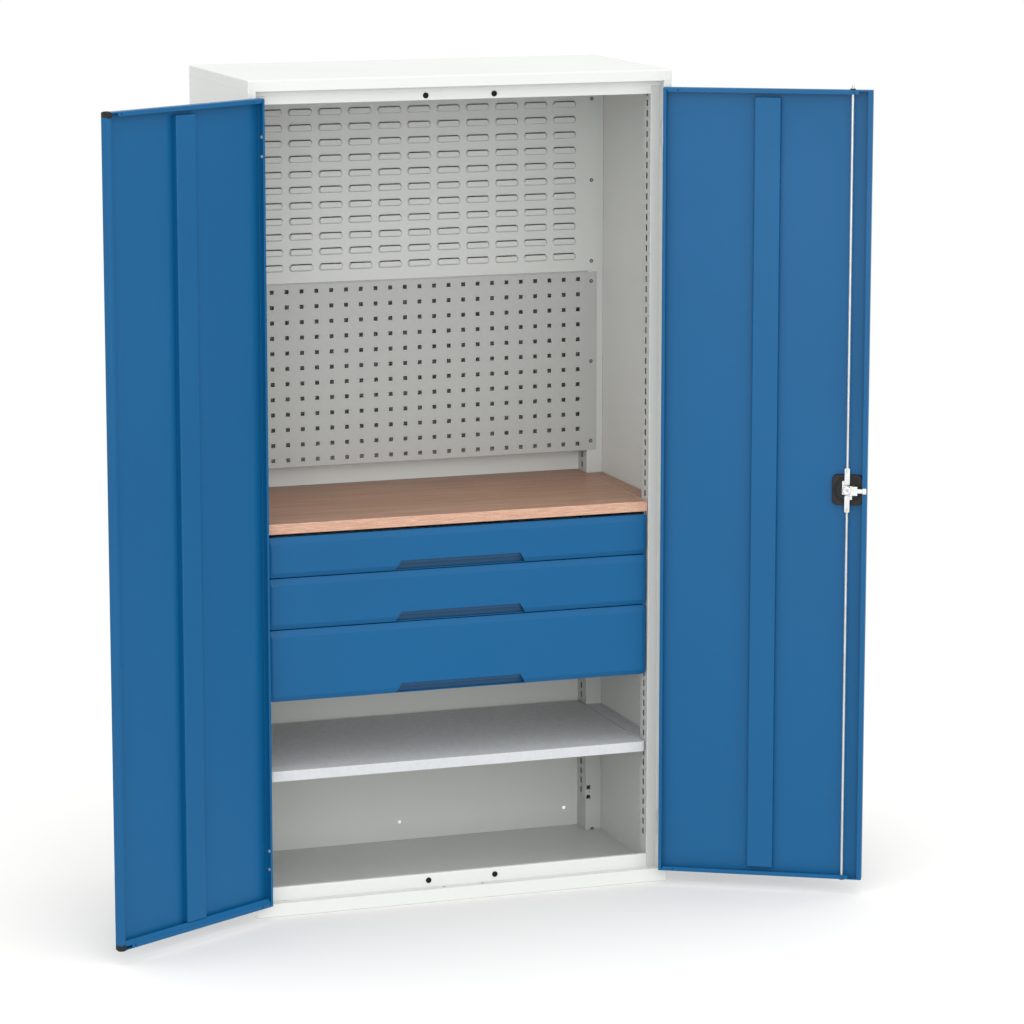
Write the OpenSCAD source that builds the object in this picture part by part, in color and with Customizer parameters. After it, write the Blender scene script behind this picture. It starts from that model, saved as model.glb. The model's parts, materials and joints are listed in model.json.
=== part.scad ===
// Tall steel tool cabinet with two hinged doors, a louvred and a perforated back panel,
// a wooden worktop, three drawers and one shelf. Millimetres, +Z up, the front faces -Y.
// The origin is under the middle of the base. Both doors are drawn standing open.

/* [Cabinet] */
// Overall width
cabinet_w = 1050; // [950:10:1250]
// Overall depth without the hinge knuckles
cabinet_d = 525; // [490:5:700]
// Overall height
cabinet_h = 2000; // [1900:10:2300]
// Sheet steel thickness of body and doors
sheet_t = 1.5; // [1:0.1:2]
// Width of the front and rear lips of the side panels
lip_w = 20; // [17:1:24]
// Height of the roof cap fascia
cap_h = 26; // [22:1:34]
// Height of the flange that hangs behind the roof cap's ledge
cap_flange_h = 12; // [8:1:14]
// Height of the base pan fascia
base_h = 33; // [30:1:45]
// Height of the cabinet floor above the ground
floor_z = 18; // [14:1:24]
// Width of the flange turned in under the base pan
foot_flange = 15; // [10:1:25]
// Width of the cross member under the floor
cross_member_w = 60; // [40:5:100]

/* [Wall fixing] */
// Diameter of the wall fixing holes
wall_hole_d = 9; // [6:0.5:12]
// Distance of the outer wall holes from the cabinet sides
wall_hole_inset = 80; // [70:5:150]
// Height of the lower wall holes, and drop of the upper ones from the top
wall_hole_rise = 65; // [50:5:120]

/* [Posts and rails] */
// Distance of the posts' inner faces from the cabinet sides
post_inset = 43.5; // [40:0.5:55]
// Depth of the front posts
front_post_d = 48.5; // [44:0.5:60]
// Width of the stiffening flange behind each front post
front_post_flange = 18; // [10:1:30]
// Depth of the rear posts
rear_post_d = 63; // [56:1:90]
// Width of the rear posts
rear_post_w = 36.5; // [30:0.5:39]
// Width of a hanging slot
slot_w = 7; // [5:0.5:9]
// Height of a hanging slot
slot_h = 15; // [13:0.5:18]
// Spacing of the hanging slots
slot_pitch = 25; // [25:1:30]
// Height of the lowest slot above the ground
first_slot_z = 117.5; // [110:0.5:125]
// Distance of the front slots behind the face of the front posts
front_slot_setback = 25; // [23:0.5:30]
// Distance of the rear slots behind the face of the rear posts
rear_slot_setback = 35; // [20:0.5:40]
// Depth of the top rail from the top of the cabinet
top_rail_h = 59; // [50:1:70]
// Height of the bottom rail's upper edge above the ground
bottom_rail_z = 65.5; // [62:0.5:80]
// Width of the rails' inward returns
rail_return = 12; // [8:1:16]

/* [Doors] */
// Thickness of a door
door_t = 22; // [20:0.5:26]
// Gap between a door and the side lip, and between the two doors
door_gap = 3; // [2.8:0.1:4]
// Gap between the doors and the base pan
door_foot_gap = 2.5; // [2:0.1:4]
// Gap between the doors and the roof cap
door_head_gap = 13.5; // [13:0.5:16]
// Width of the lips along the top and bottom of a door
door_lip = 10.5; // [8:0.5:14]
// Width of the lip along a door's closing edge
closing_lip = 11; // [9:0.5:13]
// Width of the lip along a door's hinge edge
hinge_lip = 8; // [6:0.5:10]
// Diameter of the vent holes in the door lips
vent_d = 4; // [2:0.5:5]
// Distance of the vent holes from the door's ends
vent_inset = 36; // [28:1:60]
// Width of the vertical door stiffener
stiffener_w = 63; // [40:1:90]
// Depth of the vertical door stiffener
stiffener_d = 15.5; // [10:0.5:17]
// Gap between the stiffener and the ends of the door
stiffener_end_gap = 21; // [14:1:40]
// Thickness of the stiffener's sheet
stiffener_t = 1.2; // [0.8:0.1:1.5]
// Angle at which the doors are drawn open
door_open = 150; // [0:5:175]
// Thickness of the left door's corner glides
glide_t = 1.5; // [1:0.1:1.8]
// Length of the corner glides along the door's edge
glide_l = 14; // [8:1:20]
// Width of the corner glides
glide_w = 12; // [8:0.5:16]

/* [Door buffers] */
// Diameter of a rubber door buffer
buffer_d = 14; // [10:0.5:16]
// Projection of a rubber door buffer
buffer_t = 3.5; // [2:0.5:5]
// Distance of the buffers from the middle of the cabinet
buffer_x = 85; // [70:5:150]

/* [Hinges] */
// Height of a hinge
hinge_h = 63; // [51:1:80]
// Distance of the hinge centres from the door's ends
hinge_inset = 112; // [90:2:200]
// Diameter of the hinge knuckles
knuckle_d = 7; // [6:0.5:9]
// Diameter of the hinge pins
hinge_pin_d = 4; // [3:0.1:4.5]
// Thickness of a hinge leaf
leaf_t = 1.2; // [0.8:0.1:1.3]
// Reach of the hinge leaves behind the front face
leaf_reach = 19.5; // [15:0.5:21]
// Spacing of the two rivets of a hinge
rivet_pitch = 45; // [35:1:48]
// Diameter of a rivet shank
rivet_d = 4; // [3:0.1:5]
// Diameter of a rivet head
rivet_head_d = 8; // [6:0.5:9]
// Height of a rivet head
rivet_head_t = 1.5; // [1:0.1:2.5]

/* [Lock] */
// Height of the lock's centre above the ground
lock_z = 1000; // [900:10:1150]
// Distance of the lock's centre from the closing edge
lock_setback = 48; // [46:0.5:60]
// Side of the square lock case
case_w = 74; // [72:0.5:80]
// Corner radius of the lock case
case_r = 8; // [4:0.5:12]
// Side of the square flange outside the door
cup_flange_w = 80; // [76:1:90]
// Thickness of the flange outside the door
cup_flange_t = 3; // [2:0.5:4]
// Inside diameter of the handle cup
cup_d = 66; // [62:0.5:66]
// Wall thickness of the handle cup
cup_wall = 2; // [1.5:0.1:2]
// Depth of the handle cup behind the door's face
cup_depth = 8; // [7:0.5:9]
// Thickness of the rotary handle's disc
handle_disc_t = 3; // [2:0.5:4]
// Width of the rotary handle's grip bar
grip_w = 16; // [16:0.5:20]
// Length of the rotary handle's grip bar
grip_l = 58; // [40:1:60]
// Projection of the grip bar in front of the door
grip_out = 7; // [4:0.5:12]
// Diameter of the lock barrel
barrel_d = 14; // [10:0.5:14]
// Depth of the pocket that holds the lock barrel
barrel_l = 7; // [5:0.5:7]
// Diameter of the lock spindle
spindle_d = 6; // [5:0.1:6]
// Diameter of the cam disc
cam_d = 24; // [22:0.5:30]
// Thickness of the cam disc
cam_t = 3; // [2:0.1:3.2]
// Radius at which the cam's pins stand
crank_r = 7.5; // [7.5:0.1:8.5]
// Diameter of the cam's pins
crank_pin_d = 4; // [3:0.1:4]
// Diameter of the lock rods
rod_d = 6.5; // [5:0.1:7]
// Thickness of the flattened rod ends and of the centre bolt
bar_t = 2.5; // [1.5:0.1:2.6]
// Height of the centre bolt's bar
bolt_h = 10; // [6:0.5:12]
// Diameter of the rod holes in the roof cap and base pan
rod_hole_d = 10; // [8.5:0.5:13]
// Gap between the upper rod's tip and the roof cap while unlocked
rod_tip_gap = 3; // [2:0.5:5]
// Diameter of the rod guides
rod_guide_d = 13; // [10:0.5:14]
// Height of the upper rod guide above the door
rod_guide_t = 3; // [1.5:0.5:5]

/* [Back panels] */
// Spacing of the square holes
hole_pitch = 38; // [38:1:44]
// Side of a square hole
hole_w = 10; // [8:0.5:12]
// Number of hole rows that the louvred panel takes the height of
louvre_panel_rows = 12; // [8:1:13]
// Gap between the top rail and the upper panel
panel_drop = 20.5; // [10:0.5:30]
// Thickness of the panels' sheet
panel_t = 1.5; // [1:0.1:2]
// Depth of the panels' folded upper and lower edges
panel_fold = 10; // [6:1:15]
// Width of a louvre along its upper edge
louvre_top_w = 42; // [36:1:48]
// Width of a louvre along its lower edge
louvre_foot_w = 62; // [54:1:68]
// Height of a louvre
louvre_h = 18.5; // [15:0.5:24]
// Projection of a louvre
louvre_out = 6; // [4:0.5:9]
// Diameter of a panel screw's head
screw_head_d = 9; // [7:0.5:10]
// Height of a panel screw's head
screw_head_t = 2.5; // [1.5:0.1:3.5]
// Diameter of a panel screw's shank
screw_d = 5; // [4:0.5:6]
// Length of a panel screw's shank
screw_l = 10; // [8:1:16]

/* [Worktop and drawers] */
// Thickness of the wooden worktop
worktop_t = 25; // [18:1:30]
// Number of the slot that carries the worktop, counted from the lowest as 0
worktop_slot = 32; // [30:1:36]
// Width of the grooves near the worktop's ends
groove_w = 2; // [1:0.5:4]
// Depth of the grooves near the worktop's ends
groove_d = 1.5; // [0.5:0.5:3]
// Height of the bottom drawer's module
bottom_drawer_h = 175; // [125:25:200]
// Height of the middle drawer's module
middle_drawer_h = 125; // [100:25:175]
// Height of the top drawer's module
top_drawer_h = 100; // [100:25:150]
// Gap between two drawer fronts
drawer_gap = 2; // [1.5:0.5:4]
// Gap between the top drawer and the worktop
drawer_head_gap = 7.5; // [5:0.5:10]
// Depth of a drawer front's shell
drawer_front_d = 18; // [15:0.5:20]
// Depth of the bevels along a drawer front
bevel_d = 6; // [3:0.5:8]
// Height of a drawer front's upper bevel
upper_bevel_h = 15; // [8:1:18]
// Height of a drawer front's lower bevel
lower_bevel_h = 12; // [8:1:16]
// Radius of a drawer front's rounded ends
front_end_r = 9; // [6:0.5:12]
// Width of the handle opening along the drawer's lower edge
handle_w = 330; // [200:10:400]
// Height of the handle opening
handle_h = 24; // [22:1:30]
// Slope of the handle opening's ends
handle_slope = 14.5; // [8:0.5:20]
// Height of the grip strip that shows in the handle opening
grip_strip_h = 10; // [6:0.5:12]
// Thickness of the drawer trays' sheet
tray_t = 1; // [0.8:0.1:1.2]
// Rise of a tray's floor above the drawer front's lower edge
tray_rise = 10; // [8:0.5:14]
// Drop of a tray's sides below the drawer front's upper edge
tray_drop = 23; // [15:1:26]
// Length and full travel of the drawer runners
runner_l = 400; // [300:10:420]
// Height of the runners
runner_h = 34; // [30:1:38]
// Thickness of the runners' steel
runner_t = 1.2; // [1:0.1:1.4]
// Height of the runners' centre above the drawer front's lower edge
runner_rise = 40; // [36:1:46]

/* [Shelf] */
// Number of the slot that carries the shelf, counted from the lowest as 0
shelf_slot = 9; // [4:1:12]
// Height of the shelf
shelf_h = 25; // [20:1:35]
// Thickness of the shelf's sheet
shelf_t = 1.2; // [0.8:0.1:2]
// Width of the flange turned in under the shelf's edges
shelf_flange = 12; // [8:1:20]
// Radius of the shelf's rounded front corners
shelf_corner_r = 10; // [6:0.5:12]
// Width of the ledge that carries the shelf
shelf_ledge = 14; // [8:1:20]

/* [Hidden] */
$fn = 64;

// Colours
body_paint = [0.93, 0.94, 0.94];
front_paint = [0.18, 0.42, 0.63];
zinc = [0.75, 0.76, 0.78];
galvanised = [0.66, 0.68, 0.68];
beech = [0.87, 0.70, 0.56];
black_plastic = [0.10, 0.10, 0.11];
rubber = [0.06, 0.06, 0.06];

// How far a cut runs past the surface that it opens
past = 1;

// Main planes of the body
half_w = cabinet_w / 2;
front_y = -cabinet_d / 2;
back_y = cabinet_d / 2;
lip_x = half_w - lip_w;
skin_x = half_w - sheet_t;
post_x = half_w - post_inset;
roof_z = cabinet_h - sheet_t;
cap_z = cabinet_h - cap_h;
buffer_gap = 0.5;
face_y = front_y + door_t + buffer_t + buffer_gap;
front_post_back_y = face_y + front_post_d;
back_panel_y = back_y - 2 * sheet_t;
rear_face_y = back_panel_y - rear_post_d;
front_slot_y = face_y + front_slot_setback;
rear_slot_y = rear_face_y + rear_slot_setback;
top_rail_z = cabinet_h - top_rail_h;
wall_hole_x = half_w - wall_hole_inset;

// Hanging slots and what hooks into them
function slot_height(number) = first_slot_z + number * slot_pitch;
key_hole_inset = 7.5;
slot_end_margin = 20;
slot_count = floor((roof_z - slot_end_margin - slot_h / 2 - first_slot_z) / slot_pitch) + 1;
rack_gap = 2;
rack_x = post_x - rack_gap;
rack_front_y = face_y + drawer_front_d + 1;
rack_back_y = back_panel_y - 14.5;
between_posts_y = [front_post_back_y + 1, rear_face_y - 1.5];
rack_flange_x = skin_x - 1.5;
hook_t = 3;
hook_claw_drop = 4.5;
hook_rise = 8.5;

// Doors in their closed place; the right door is the model for both
door_x = [door_gap / 2, lip_x - door_gap];
door_y = [front_y, front_y + door_t];
door_z = [base_h + door_foot_gap, cap_z - door_head_gap];
knuckle_clearance = 0.5;
hinge_x = lip_x - door_gap / 2;
hinge_y = front_y - knuckle_d / 2 - knuckle_clearance;
hinge_z = [door_z[0] + hinge_inset, door_z[1] - hinge_inset];
knuckle_play = 0.3;
knuckle_h = hinge_h / 3;
pin_clearance = 0.05;
leaf_end_y = front_y + leaf_reach;
rivet_depth = 11;
door_middle_x = (door_x[0] + door_x[1]) / 2;

// Lock, with depths measured from the door's face into the cabinet
lock_x = door_x[0] + lock_setback;
fit = 0.05;
layer_gap = 0.3;
case_depth = 14;
cup_outer_r = cup_d / 2 + cup_wall;
cup_floor_t = 2;
rod_depth = 15.5;
rod_bar_depth = [case_depth + layer_gap, case_depth + layer_gap + bar_t];
cam_depth = [rod_bar_depth[1] + layer_gap, rod_bar_depth[1] + layer_gap + cam_t];
bolt_depth = [door_t + layer_gap, door_t + layer_gap + bar_t];
handle_clearance = 1;
handle_disc_depth = [cup_depth - 0.5 - handle_disc_t, cup_depth - 0.5];
barrel_floor = 0.3;
spindle_start = 1.5;
crank_offset = crank_r * sin(45);
rod_throw = 2 * crank_offset;
yoke_play = 0.35;
yoke_gap = spindle_d / 2 + 0.4;
yoke_slot_h = crank_pin_d + 2 * yoke_play;
yoke_slot_end = crank_r + crank_pin_d / 2 + yoke_play;
yoke_arm = 3;
yoke_x = [yoke_gap, yoke_slot_end + 2.15];
yoke_shoulder_z = crank_offset + yoke_slot_h / 2 + yoke_arm + 2;
rod_neck_w = 10;
rod_start = case_w / 2 + 5;
rod_neck_end = rod_start + 5;
upper_rod_tip_z = cap_z - rod_tip_gap;
lower_guide_t = door_foot_gap - 1.3;
lower_rod_tip_z = door_z[0] - lower_guide_t;
rod_guide_neck_r = 4.5;
bolt_tip_gap = 1;
guide_wall = 1.5;
guide_roof = 1;

// Back panels
panel_x = half_w - 18.5;
panel_y = [rear_face_y - panel_t, rear_face_y];
panel_gap = 1;
worktop_clearance = 50;
worktop_lift = 8.5;
worktop_z = slot_height(worktop_slot) + worktop_lift;
worktop_top_z = worktop_z + worktop_t;
louvre_panel_z = [top_rail_z - panel_drop - louvre_panel_rows * hole_pitch, top_rail_z - panel_drop];
perforated_top_z = louvre_panel_z[0] - panel_gap;
perforated_rows = floor((perforated_top_z - worktop_top_z - worktop_clearance) / hole_pitch);
perforated_panel_z = [perforated_top_z - perforated_rows * hole_pitch, perforated_top_z];
hole_columns = floor((panel_x - hole_pitch) / hole_pitch);
louvre_columns = floor(hole_columns / 2);
louvre_rows = louvre_panel_rows - 1;
fold_x = post_x - 1.5;
screw_x = post_x + 9.5;
screw_edge = 25;
screw_clearance = 0.1;

// Worktop, drawers and their housing
worktop_front_y = face_y + 2.5;
worktop_narrow_x = post_x - 1.5;
groove_x = post_x - 5.5;
housing_clearance = 1.5;
drawer_modules = [bottom_drawer_h, middle_drawer_h, top_drawer_h];
drawer_stack_h = bottom_drawer_h + middle_drawer_h + top_drawer_h;
housing_z = worktop_z - drawer_stack_h - housing_clearance - drawer_head_gap + drawer_gap;
drawer_bottoms = [
    housing_z + housing_clearance,
    housing_z + housing_clearance + bottom_drawer_h,
    housing_z + housing_clearance + bottom_drawer_h + middle_drawer_h
];
drawer_front_x = rack_x - 0.5;
drawer_front_corner_r = 8;
drawer_back_y = face_y + drawer_front_d;
grip_strip_depth = 6;
handle_cut_depth = bevel_d + 2;
grip_strip_margin = 10;
runner_space = 13.5;
runner_play = 0.5;
tray_x = rack_x - sheet_t - runner_space;
runner_y = [rack_front_y + 0.5, rack_front_y + 0.5 + runner_l];
tray_back_y = runner_y[1] - 5;
slider_x = [tray_x + 2.5, rack_x - sheet_t - runner_t - 0.6];
fixed_rail_x = [tray_x + 2, rack_x - sheet_t];
member_x = [tray_x, slider_x[1] - runner_t - runner_play];

// Shelf and its supports
shelf_gap = 2;
shelf_x = rack_x - sheet_t - shelf_gap;
shelf_nose_x = post_x - 1.5;
shelf_nose_y = face_y + 4.5;
shelf_top_z = slot_height(shelf_slot) + slot_h / 2;
shelf_z = shelf_top_z - shelf_h;

// A box between two values on each axis
module block(x, y, z) {
    translate([x[0], y[0], z[0]]) cube([x[1] - x[0], y[1] - y[0], z[1] - z[0]]);
}

// A flat outline in X and Z, given its thickness between two Y values
module upright(y) {
    translate([0, y[1], 0]) rotate([90, 0, 0]) linear_extrude(y[1] - y[0]) children();
}

// A flat outline in Y and Z, given its thickness between two X values
module sideways(x) {
    translate([x[0], 0, 0]) rotate([90, 0, 90]) linear_extrude(x[1] - x[0]) children();
}

// The same piece on the left side
module left() {
    mirror([1, 0, 0]) children();
}

// The same piece on both sides
module both() {
    children();
    left() children();
}

// Corners of a rectangle
function corners(x, y) = [[x[0], y[0]], [x[1], y[0]], [x[1], y[1]], [x[0], y[1]]];

// A rectangle between two values on each axis
module rectangle(x, y) {
    polygon(corners(x, y));
}

// The two ends of a width about its middle
function ends(middle, width) = [middle - width / 2, middle + width / 2];

// A rectangle with rectangular holes, each given by its centre
module pierced(x, y, hole, centres) {
    holes = [for (c = centres) each corners(ends(c[0], hole[0]), ends(c[1], hole[1]))];
    outlines = [for (i = [0 : len(centres)]) [for (k = [0 : 3]) 4 * i + k]];
    polygon(points = concat(corners(x, y), holes), paths = outlines);
}

// A rectangle with four rounded corners
module rounded(x, y, r) {
    rectangle([x[0] + r, x[1] - r], y);
    rectangle(x, [y[0] + r, y[1] - r]);
    for (cx = [x[0] + r, x[1] - r]) {
        for (cy = [y[0] + r, y[1] - r]) {
            translate([cx, cy]) circle(r);
        }
    }
}

// A rectangle with its two front corners rounded
module front_rounded(x, y, r) {
    rectangle([x[0] + r, x[1] - r], y);
    rectangle(x, [y[0] + r, y[1]]);
    intersection() {
        rectangle(x, y);
        for (cx = [x[0] + r, x[1] - r]) {
            translate([cx, y[0] + r]) circle(r);
        }
    }
}

// ---- Body ----

module roof_cap() {
    color(body_paint) difference() {
        union() {
            block([-half_w, half_w], [front_y, back_y], [cap_z, cabinet_h]);
            block([-lip_x, lip_x], [face_y - sheet_t, face_y], [cap_z - cap_flange_h, cap_z + past]);
        }
        block([-skin_x, skin_x], [front_y + sheet_t, back_y - sheet_t], [cap_z + sheet_t, roof_z]);
        block([-skin_x, skin_x], [face_y, back_y - sheet_t], [cap_z - past, roof_z]);
        rod_hole(cap_z);
    }
}

// Holes for the lock rods' tips, mirrored because one cap fits either hand
module rod_hole(z) {
    both() translate([lock_x, front_y + rod_depth, z - past]) {
        cylinder(d = rod_hole_d, h = sheet_t + 2 * past);
    }
}

module base_pan() {
    color(body_paint) difference() {
        block([-half_w, half_w], [front_y, back_y], [0, base_h]);
        block([-skin_x, skin_x], [face_y, back_y - sheet_t], [floor_z, base_h + past]);
        block([-skin_x, skin_x], [front_y + sheet_t, back_y - sheet_t], [sheet_t, floor_z - sheet_t]);
        block([-skin_x, skin_x], [front_y + sheet_t, face_y - sheet_t], [sheet_t, base_h - sheet_t]);
        block([-half_w + foot_flange, half_w - foot_flange], [front_y + foot_flange, back_y - foot_flange],
            [-past, sheet_t + past]);
        rod_hole(base_h - sheet_t);
    }
}

module base_cross_member() {
    half = cross_member_w / 2;
    length = [front_y + foot_flange, back_y - foot_flange];
    color(galvanised) difference() {
        block([-half, half], length, [0, floor_z - sheet_t]);
        block([-half + sheet_t, half - sheet_t], [length[0] - past, length[1] + past], [sheet_t, floor_z]);
    }
}

module side_panel() {
    color(body_paint) translate([0, 0, base_h]) linear_extrude(cap_z - base_h) {
        rectangle([skin_x, half_w], [front_y, back_y]);
        rectangle([lip_x, half_w], [front_y, front_y + sheet_t]);
        rectangle([lip_x, lip_x + sheet_t], [front_y, face_y]);
        rectangle([lip_x, half_w], [back_y - sheet_t, back_y]);
    }
}

module back_panel() {
    color(body_paint) upright([back_panel_y, back_y - sheet_t]) difference() {
        rectangle([-skin_x, skin_x], [floor_z, roof_z]);
        for (x = [-wall_hole_x, 0, wall_hole_x]) {
            for (z = [wall_hole_rise, cabinet_h - wall_hole_rise]) {
                translate([x, z]) circle(d = wall_hole_d);
            }
        }
    }
}

// The slotted inner face of a post
module slotted_face(y, slot_y) {
    slots = [for (number = [0 : slot_count - 1]) [slot_y, slot_height(number)]];
    sideways([post_x, post_x + sheet_t]) pierced(y, [floor_z, roof_z], [slot_w, slot_h], slots);
}

module front_post() {
    height = [floor_z, roof_z];
    flange_x = [post_x, post_x + front_post_flange];
    color(body_paint) {
        slotted_face([face_y, front_post_back_y], front_slot_y);
        block([post_x, skin_x], [face_y, face_y + sheet_t], height);
        block(flange_x, [front_post_back_y - sheet_t, front_post_back_y], height);
    }
}

module rear_post() {
    width = [post_x, post_x + rear_post_w];
    key_hole_x = post_x + key_hole_inset;
    key_holes = [for (step = [-slot_pitch / 2, slot_pitch / 2]) [key_hole_x, first_slot_z + step]];
    color(body_paint) {
        slotted_face([rear_face_y, back_panel_y], rear_slot_y);
        upright([rear_face_y, rear_face_y + sheet_t]) difference() {
            pierced(width, [floor_z, roof_z], [hole_w, hole_w], key_holes);
            panel_screw_places() circle(d = screw_d + 2 * screw_clearance);
        }
        block(width, [back_panel_y - sheet_t, back_panel_y], [floor_z, roof_z]);
    }
}

module top_rail() {
    width = [-post_x, post_x];
    color(body_paint) {
        block(width, [face_y, face_y + sheet_t], [top_rail_z, roof_z]);
        block(width, [face_y, face_y + rail_return], [top_rail_z, top_rail_z + sheet_t]);
    }
}

module bottom_rail() {
    width = [-post_x, post_x];
    color(body_paint) {
        block(width, [face_y, face_y + sheet_t], [floor_z, bottom_rail_z]);
        block(width, [face_y, face_y + rail_return], [bottom_rail_z - sheet_t, bottom_rail_z]);
    }
}

// Round rubber stops on the rails, stepped in towards the door
module door_buffers() {
    upper_z = (top_rail_z + cap_z - cap_flange_h) / 2 + past;
    lower_z = (bottom_rail_z + base_h) / 2;
    step_t = buffer_t / 2;
    color(rubber) for (x = [-buffer_x, buffer_x]) {
        for (z = [lower_z, upper_z]) {
            translate([x, face_y, z]) rotate([90, 0, 0]) {
                cylinder(d = buffer_d, h = step_t);
                cylinder(d = buffer_d * 0.7, h = buffer_t);
            }
        }
    }
}

// ---- Back panels ----

// Screw places on one side, in X and Z
module panel_screw_places() {
    for (z = [louvre_panel_z, perforated_panel_z]) {
        for (height = [z[0] + screw_edge, (z[0] + z[1]) / 2, z[1] - screw_edge]) {
            translate([screw_x, height]) children();
        }
    }
}

module panel_screw_holes() {
    upright([panel_y[0] - past, panel_y[1] + past]) both() {
        panel_screw_places() circle(d = screw_d + 2 * screw_clearance);
    }
}

// Folded edges that stiffen a back panel between the posts
module panel_folds(z) {
    for (edge = [[z[0], z[0] + panel_t], [z[1] - panel_t, z[1]]]) {
        block([-fold_x, fold_x], [panel_y[0], panel_y[1] + panel_fold], edge);
    }
}

// Louvre outlines in X and Z, drawn in by an inset
module louvre_outlines(inset) {
    top = louvre_top_w / 2 - inset;
    foot = louvre_foot_w / 2 - inset;
    middle_z = (louvre_panel_z[0] + louvre_panel_z[1]) / 2;
    for (column = [0 : louvre_columns - 1]) {
        x = (2 * column + 1) * hole_pitch;
        for (row = [0 : louvre_rows - 1]) {
            z = middle_z + (row - (louvre_rows - 1) / 2) * hole_pitch;
            for (side = [-1, 1]) {
                translate([side * x, z]) polygon([
                    [-foot, inset - louvre_h / 2], [foot, inset - louvre_h / 2],
                    [top, louvre_h / 2], [-top, louvre_h / 2]
                ]);
            }
        }
    }
}

// Sloping sections of all louvre rows in Y and Z, drawn in by an inset
module louvre_slopes(inset) {
    middle_z = (louvre_panel_z[0] + louvre_panel_z[1]) / 2;
    back = panel_y[0] + inset;
    for (row = [0 : louvre_rows - 1]) {
        z = middle_z + (row - (louvre_rows - 1) / 2) * hole_pitch;
        translate([0, z]) polygon([
            [back, inset - louvre_h / 2], [panel_y[1] + inset, inset - louvre_h / 2],
            [panel_y[1] + inset, louvre_h / 2], [back - louvre_out, louvre_h / 2]
        ]);
    }
}

// All louvres as solid wedges, drawn in by an inset
module louvre_wedges(inset) {
    intersection() {
        upright([panel_y[0] - louvre_out - past, panel_y[1] + inset + past]) louvre_outlines(inset);
        sideways([-panel_x, panel_x]) louvre_slopes(inset);
    }
}

module louvre_panel() {
    color(body_paint) difference() {
        union() {
            upright(panel_y) rectangle([-panel_x, panel_x], louvre_panel_z);
            panel_folds(louvre_panel_z);
            louvre_wedges(0);
        }
        louvre_wedges(panel_t);
        panel_screw_holes();
    }
}

module perforated_panel() {
    rows = [for (row = [0 : perforated_rows - 1]) perforated_panel_z[0] + (row + 0.5) * hole_pitch];
    centres = [for (column = [-hole_columns : hole_columns]) for (z = rows) [column * hole_pitch, z]];
    color(body_paint) difference() {
        union() {
            upright(panel_y) pierced([-panel_x, panel_x], perforated_panel_z, [hole_w, hole_w], centres);
            panel_folds(perforated_panel_z);
        }
        panel_screw_holes();
    }
}

module panel_screws() {
    color(zinc) both() {
        upright([panel_y[0] - screw_head_t, panel_y[0]]) panel_screw_places() circle(d = screw_head_d);
        upright([panel_y[0], panel_y[0] + screw_l]) panel_screw_places() circle(d = screw_d);
    }
}

// ---- Worktop, drawer housing and runners ----

module worktop() {
    wide_x = rack_flange_x;
    color(beech) difference() {
        translate([0, 0, worktop_z]) linear_extrude(worktop_t) {
            rectangle([-worktop_narrow_x, worktop_narrow_x], [worktop_front_y, back_panel_y - 1.5]);
            rectangle([-wide_x, wide_x], between_posts_y);
        }
        both() block([groove_x, groove_x + groove_w], [worktop_front_y - past, back_panel_y],
            [worktop_top_z - groove_d, worktop_top_z + past]);
    }
}

// A hook that rests on the lower edge of a slot and hangs behind the post's face
module slot_hook(y, slot_z) {
    seat_z = slot_z - slot_h / 2;
    width = [y - hook_t / 2, y + hook_t / 2];
    behind_x = post_x + sheet_t;
    block([rack_x - sheet_t, behind_x + sheet_t], width, [seat_z, seat_z + hook_rise]);
    block([behind_x, behind_x + sheet_t], width, [seat_z - hook_claw_drop, seat_z + hook_rise]);
}

module drawer_housing() {
    lower_number = ceil((housing_z + slot_h / 2 + hook_claw_drop - first_slot_z) / slot_pitch);
    color(zinc) {
        block([rack_x - sheet_t, rack_x], [rack_front_y, rack_back_y], [housing_z, worktop_z]);
        block([rack_x - sheet_t, rack_flange_x], between_posts_y, [worktop_z - sheet_t, worktop_z]);
        for (y = [front_slot_y, rear_slot_y]) {
            for (number = [lower_number, worktop_slot]) {
                slot_hook(y, slot_height(number));
            }
        }
    }
}

module drawer_housing_floor() {
    color(zinc) block([-rack_x, rack_x], [rack_front_y, rack_back_y], [housing_z - sheet_t, housing_z]);
}

// A channel section of a runner, open towards the drawer or away from it
module runner_channel(x, half_h, open_inward) {
    web_x = open_inward ? [x[1] - runner_t, x[1]] : [x[0], x[0] + runner_t];
    block(web_x, runner_y, [-half_h, half_h]);
    block(x, runner_y, [half_h - runner_t, half_h]);
    block(x, runner_y, [-half_h, runner_t - half_h]);
}

module fixed_runner_rails() {
    color(zinc) for (z = drawer_bottoms) {
        translate([0, 0, z + runner_rise]) both() runner_channel(fixed_rail_x, runner_h / 2, true);
    }
}

// The member between a fixed rail and the drawer's own rail
module runner_members(drawer) {
    half_h = runner_h / 2 - runner_t - runner_play;
    color(zinc) translate([0, 0, drawer_bottoms[drawer] + runner_rise]) both() {
        runner_channel(slider_x, half_h, true);
    }
}

// The rails fixed to the sides of a drawer's tray
module runner_sliders(drawer) {
    half_h = runner_h / 2 - 2 * runner_t - 2 * runner_play;
    color(zinc) translate([0, 0, drawer_bottoms[drawer] + runner_rise]) both() {
        runner_channel(member_x, half_h, false);
    }
}

// ---- Drawers ----

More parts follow.
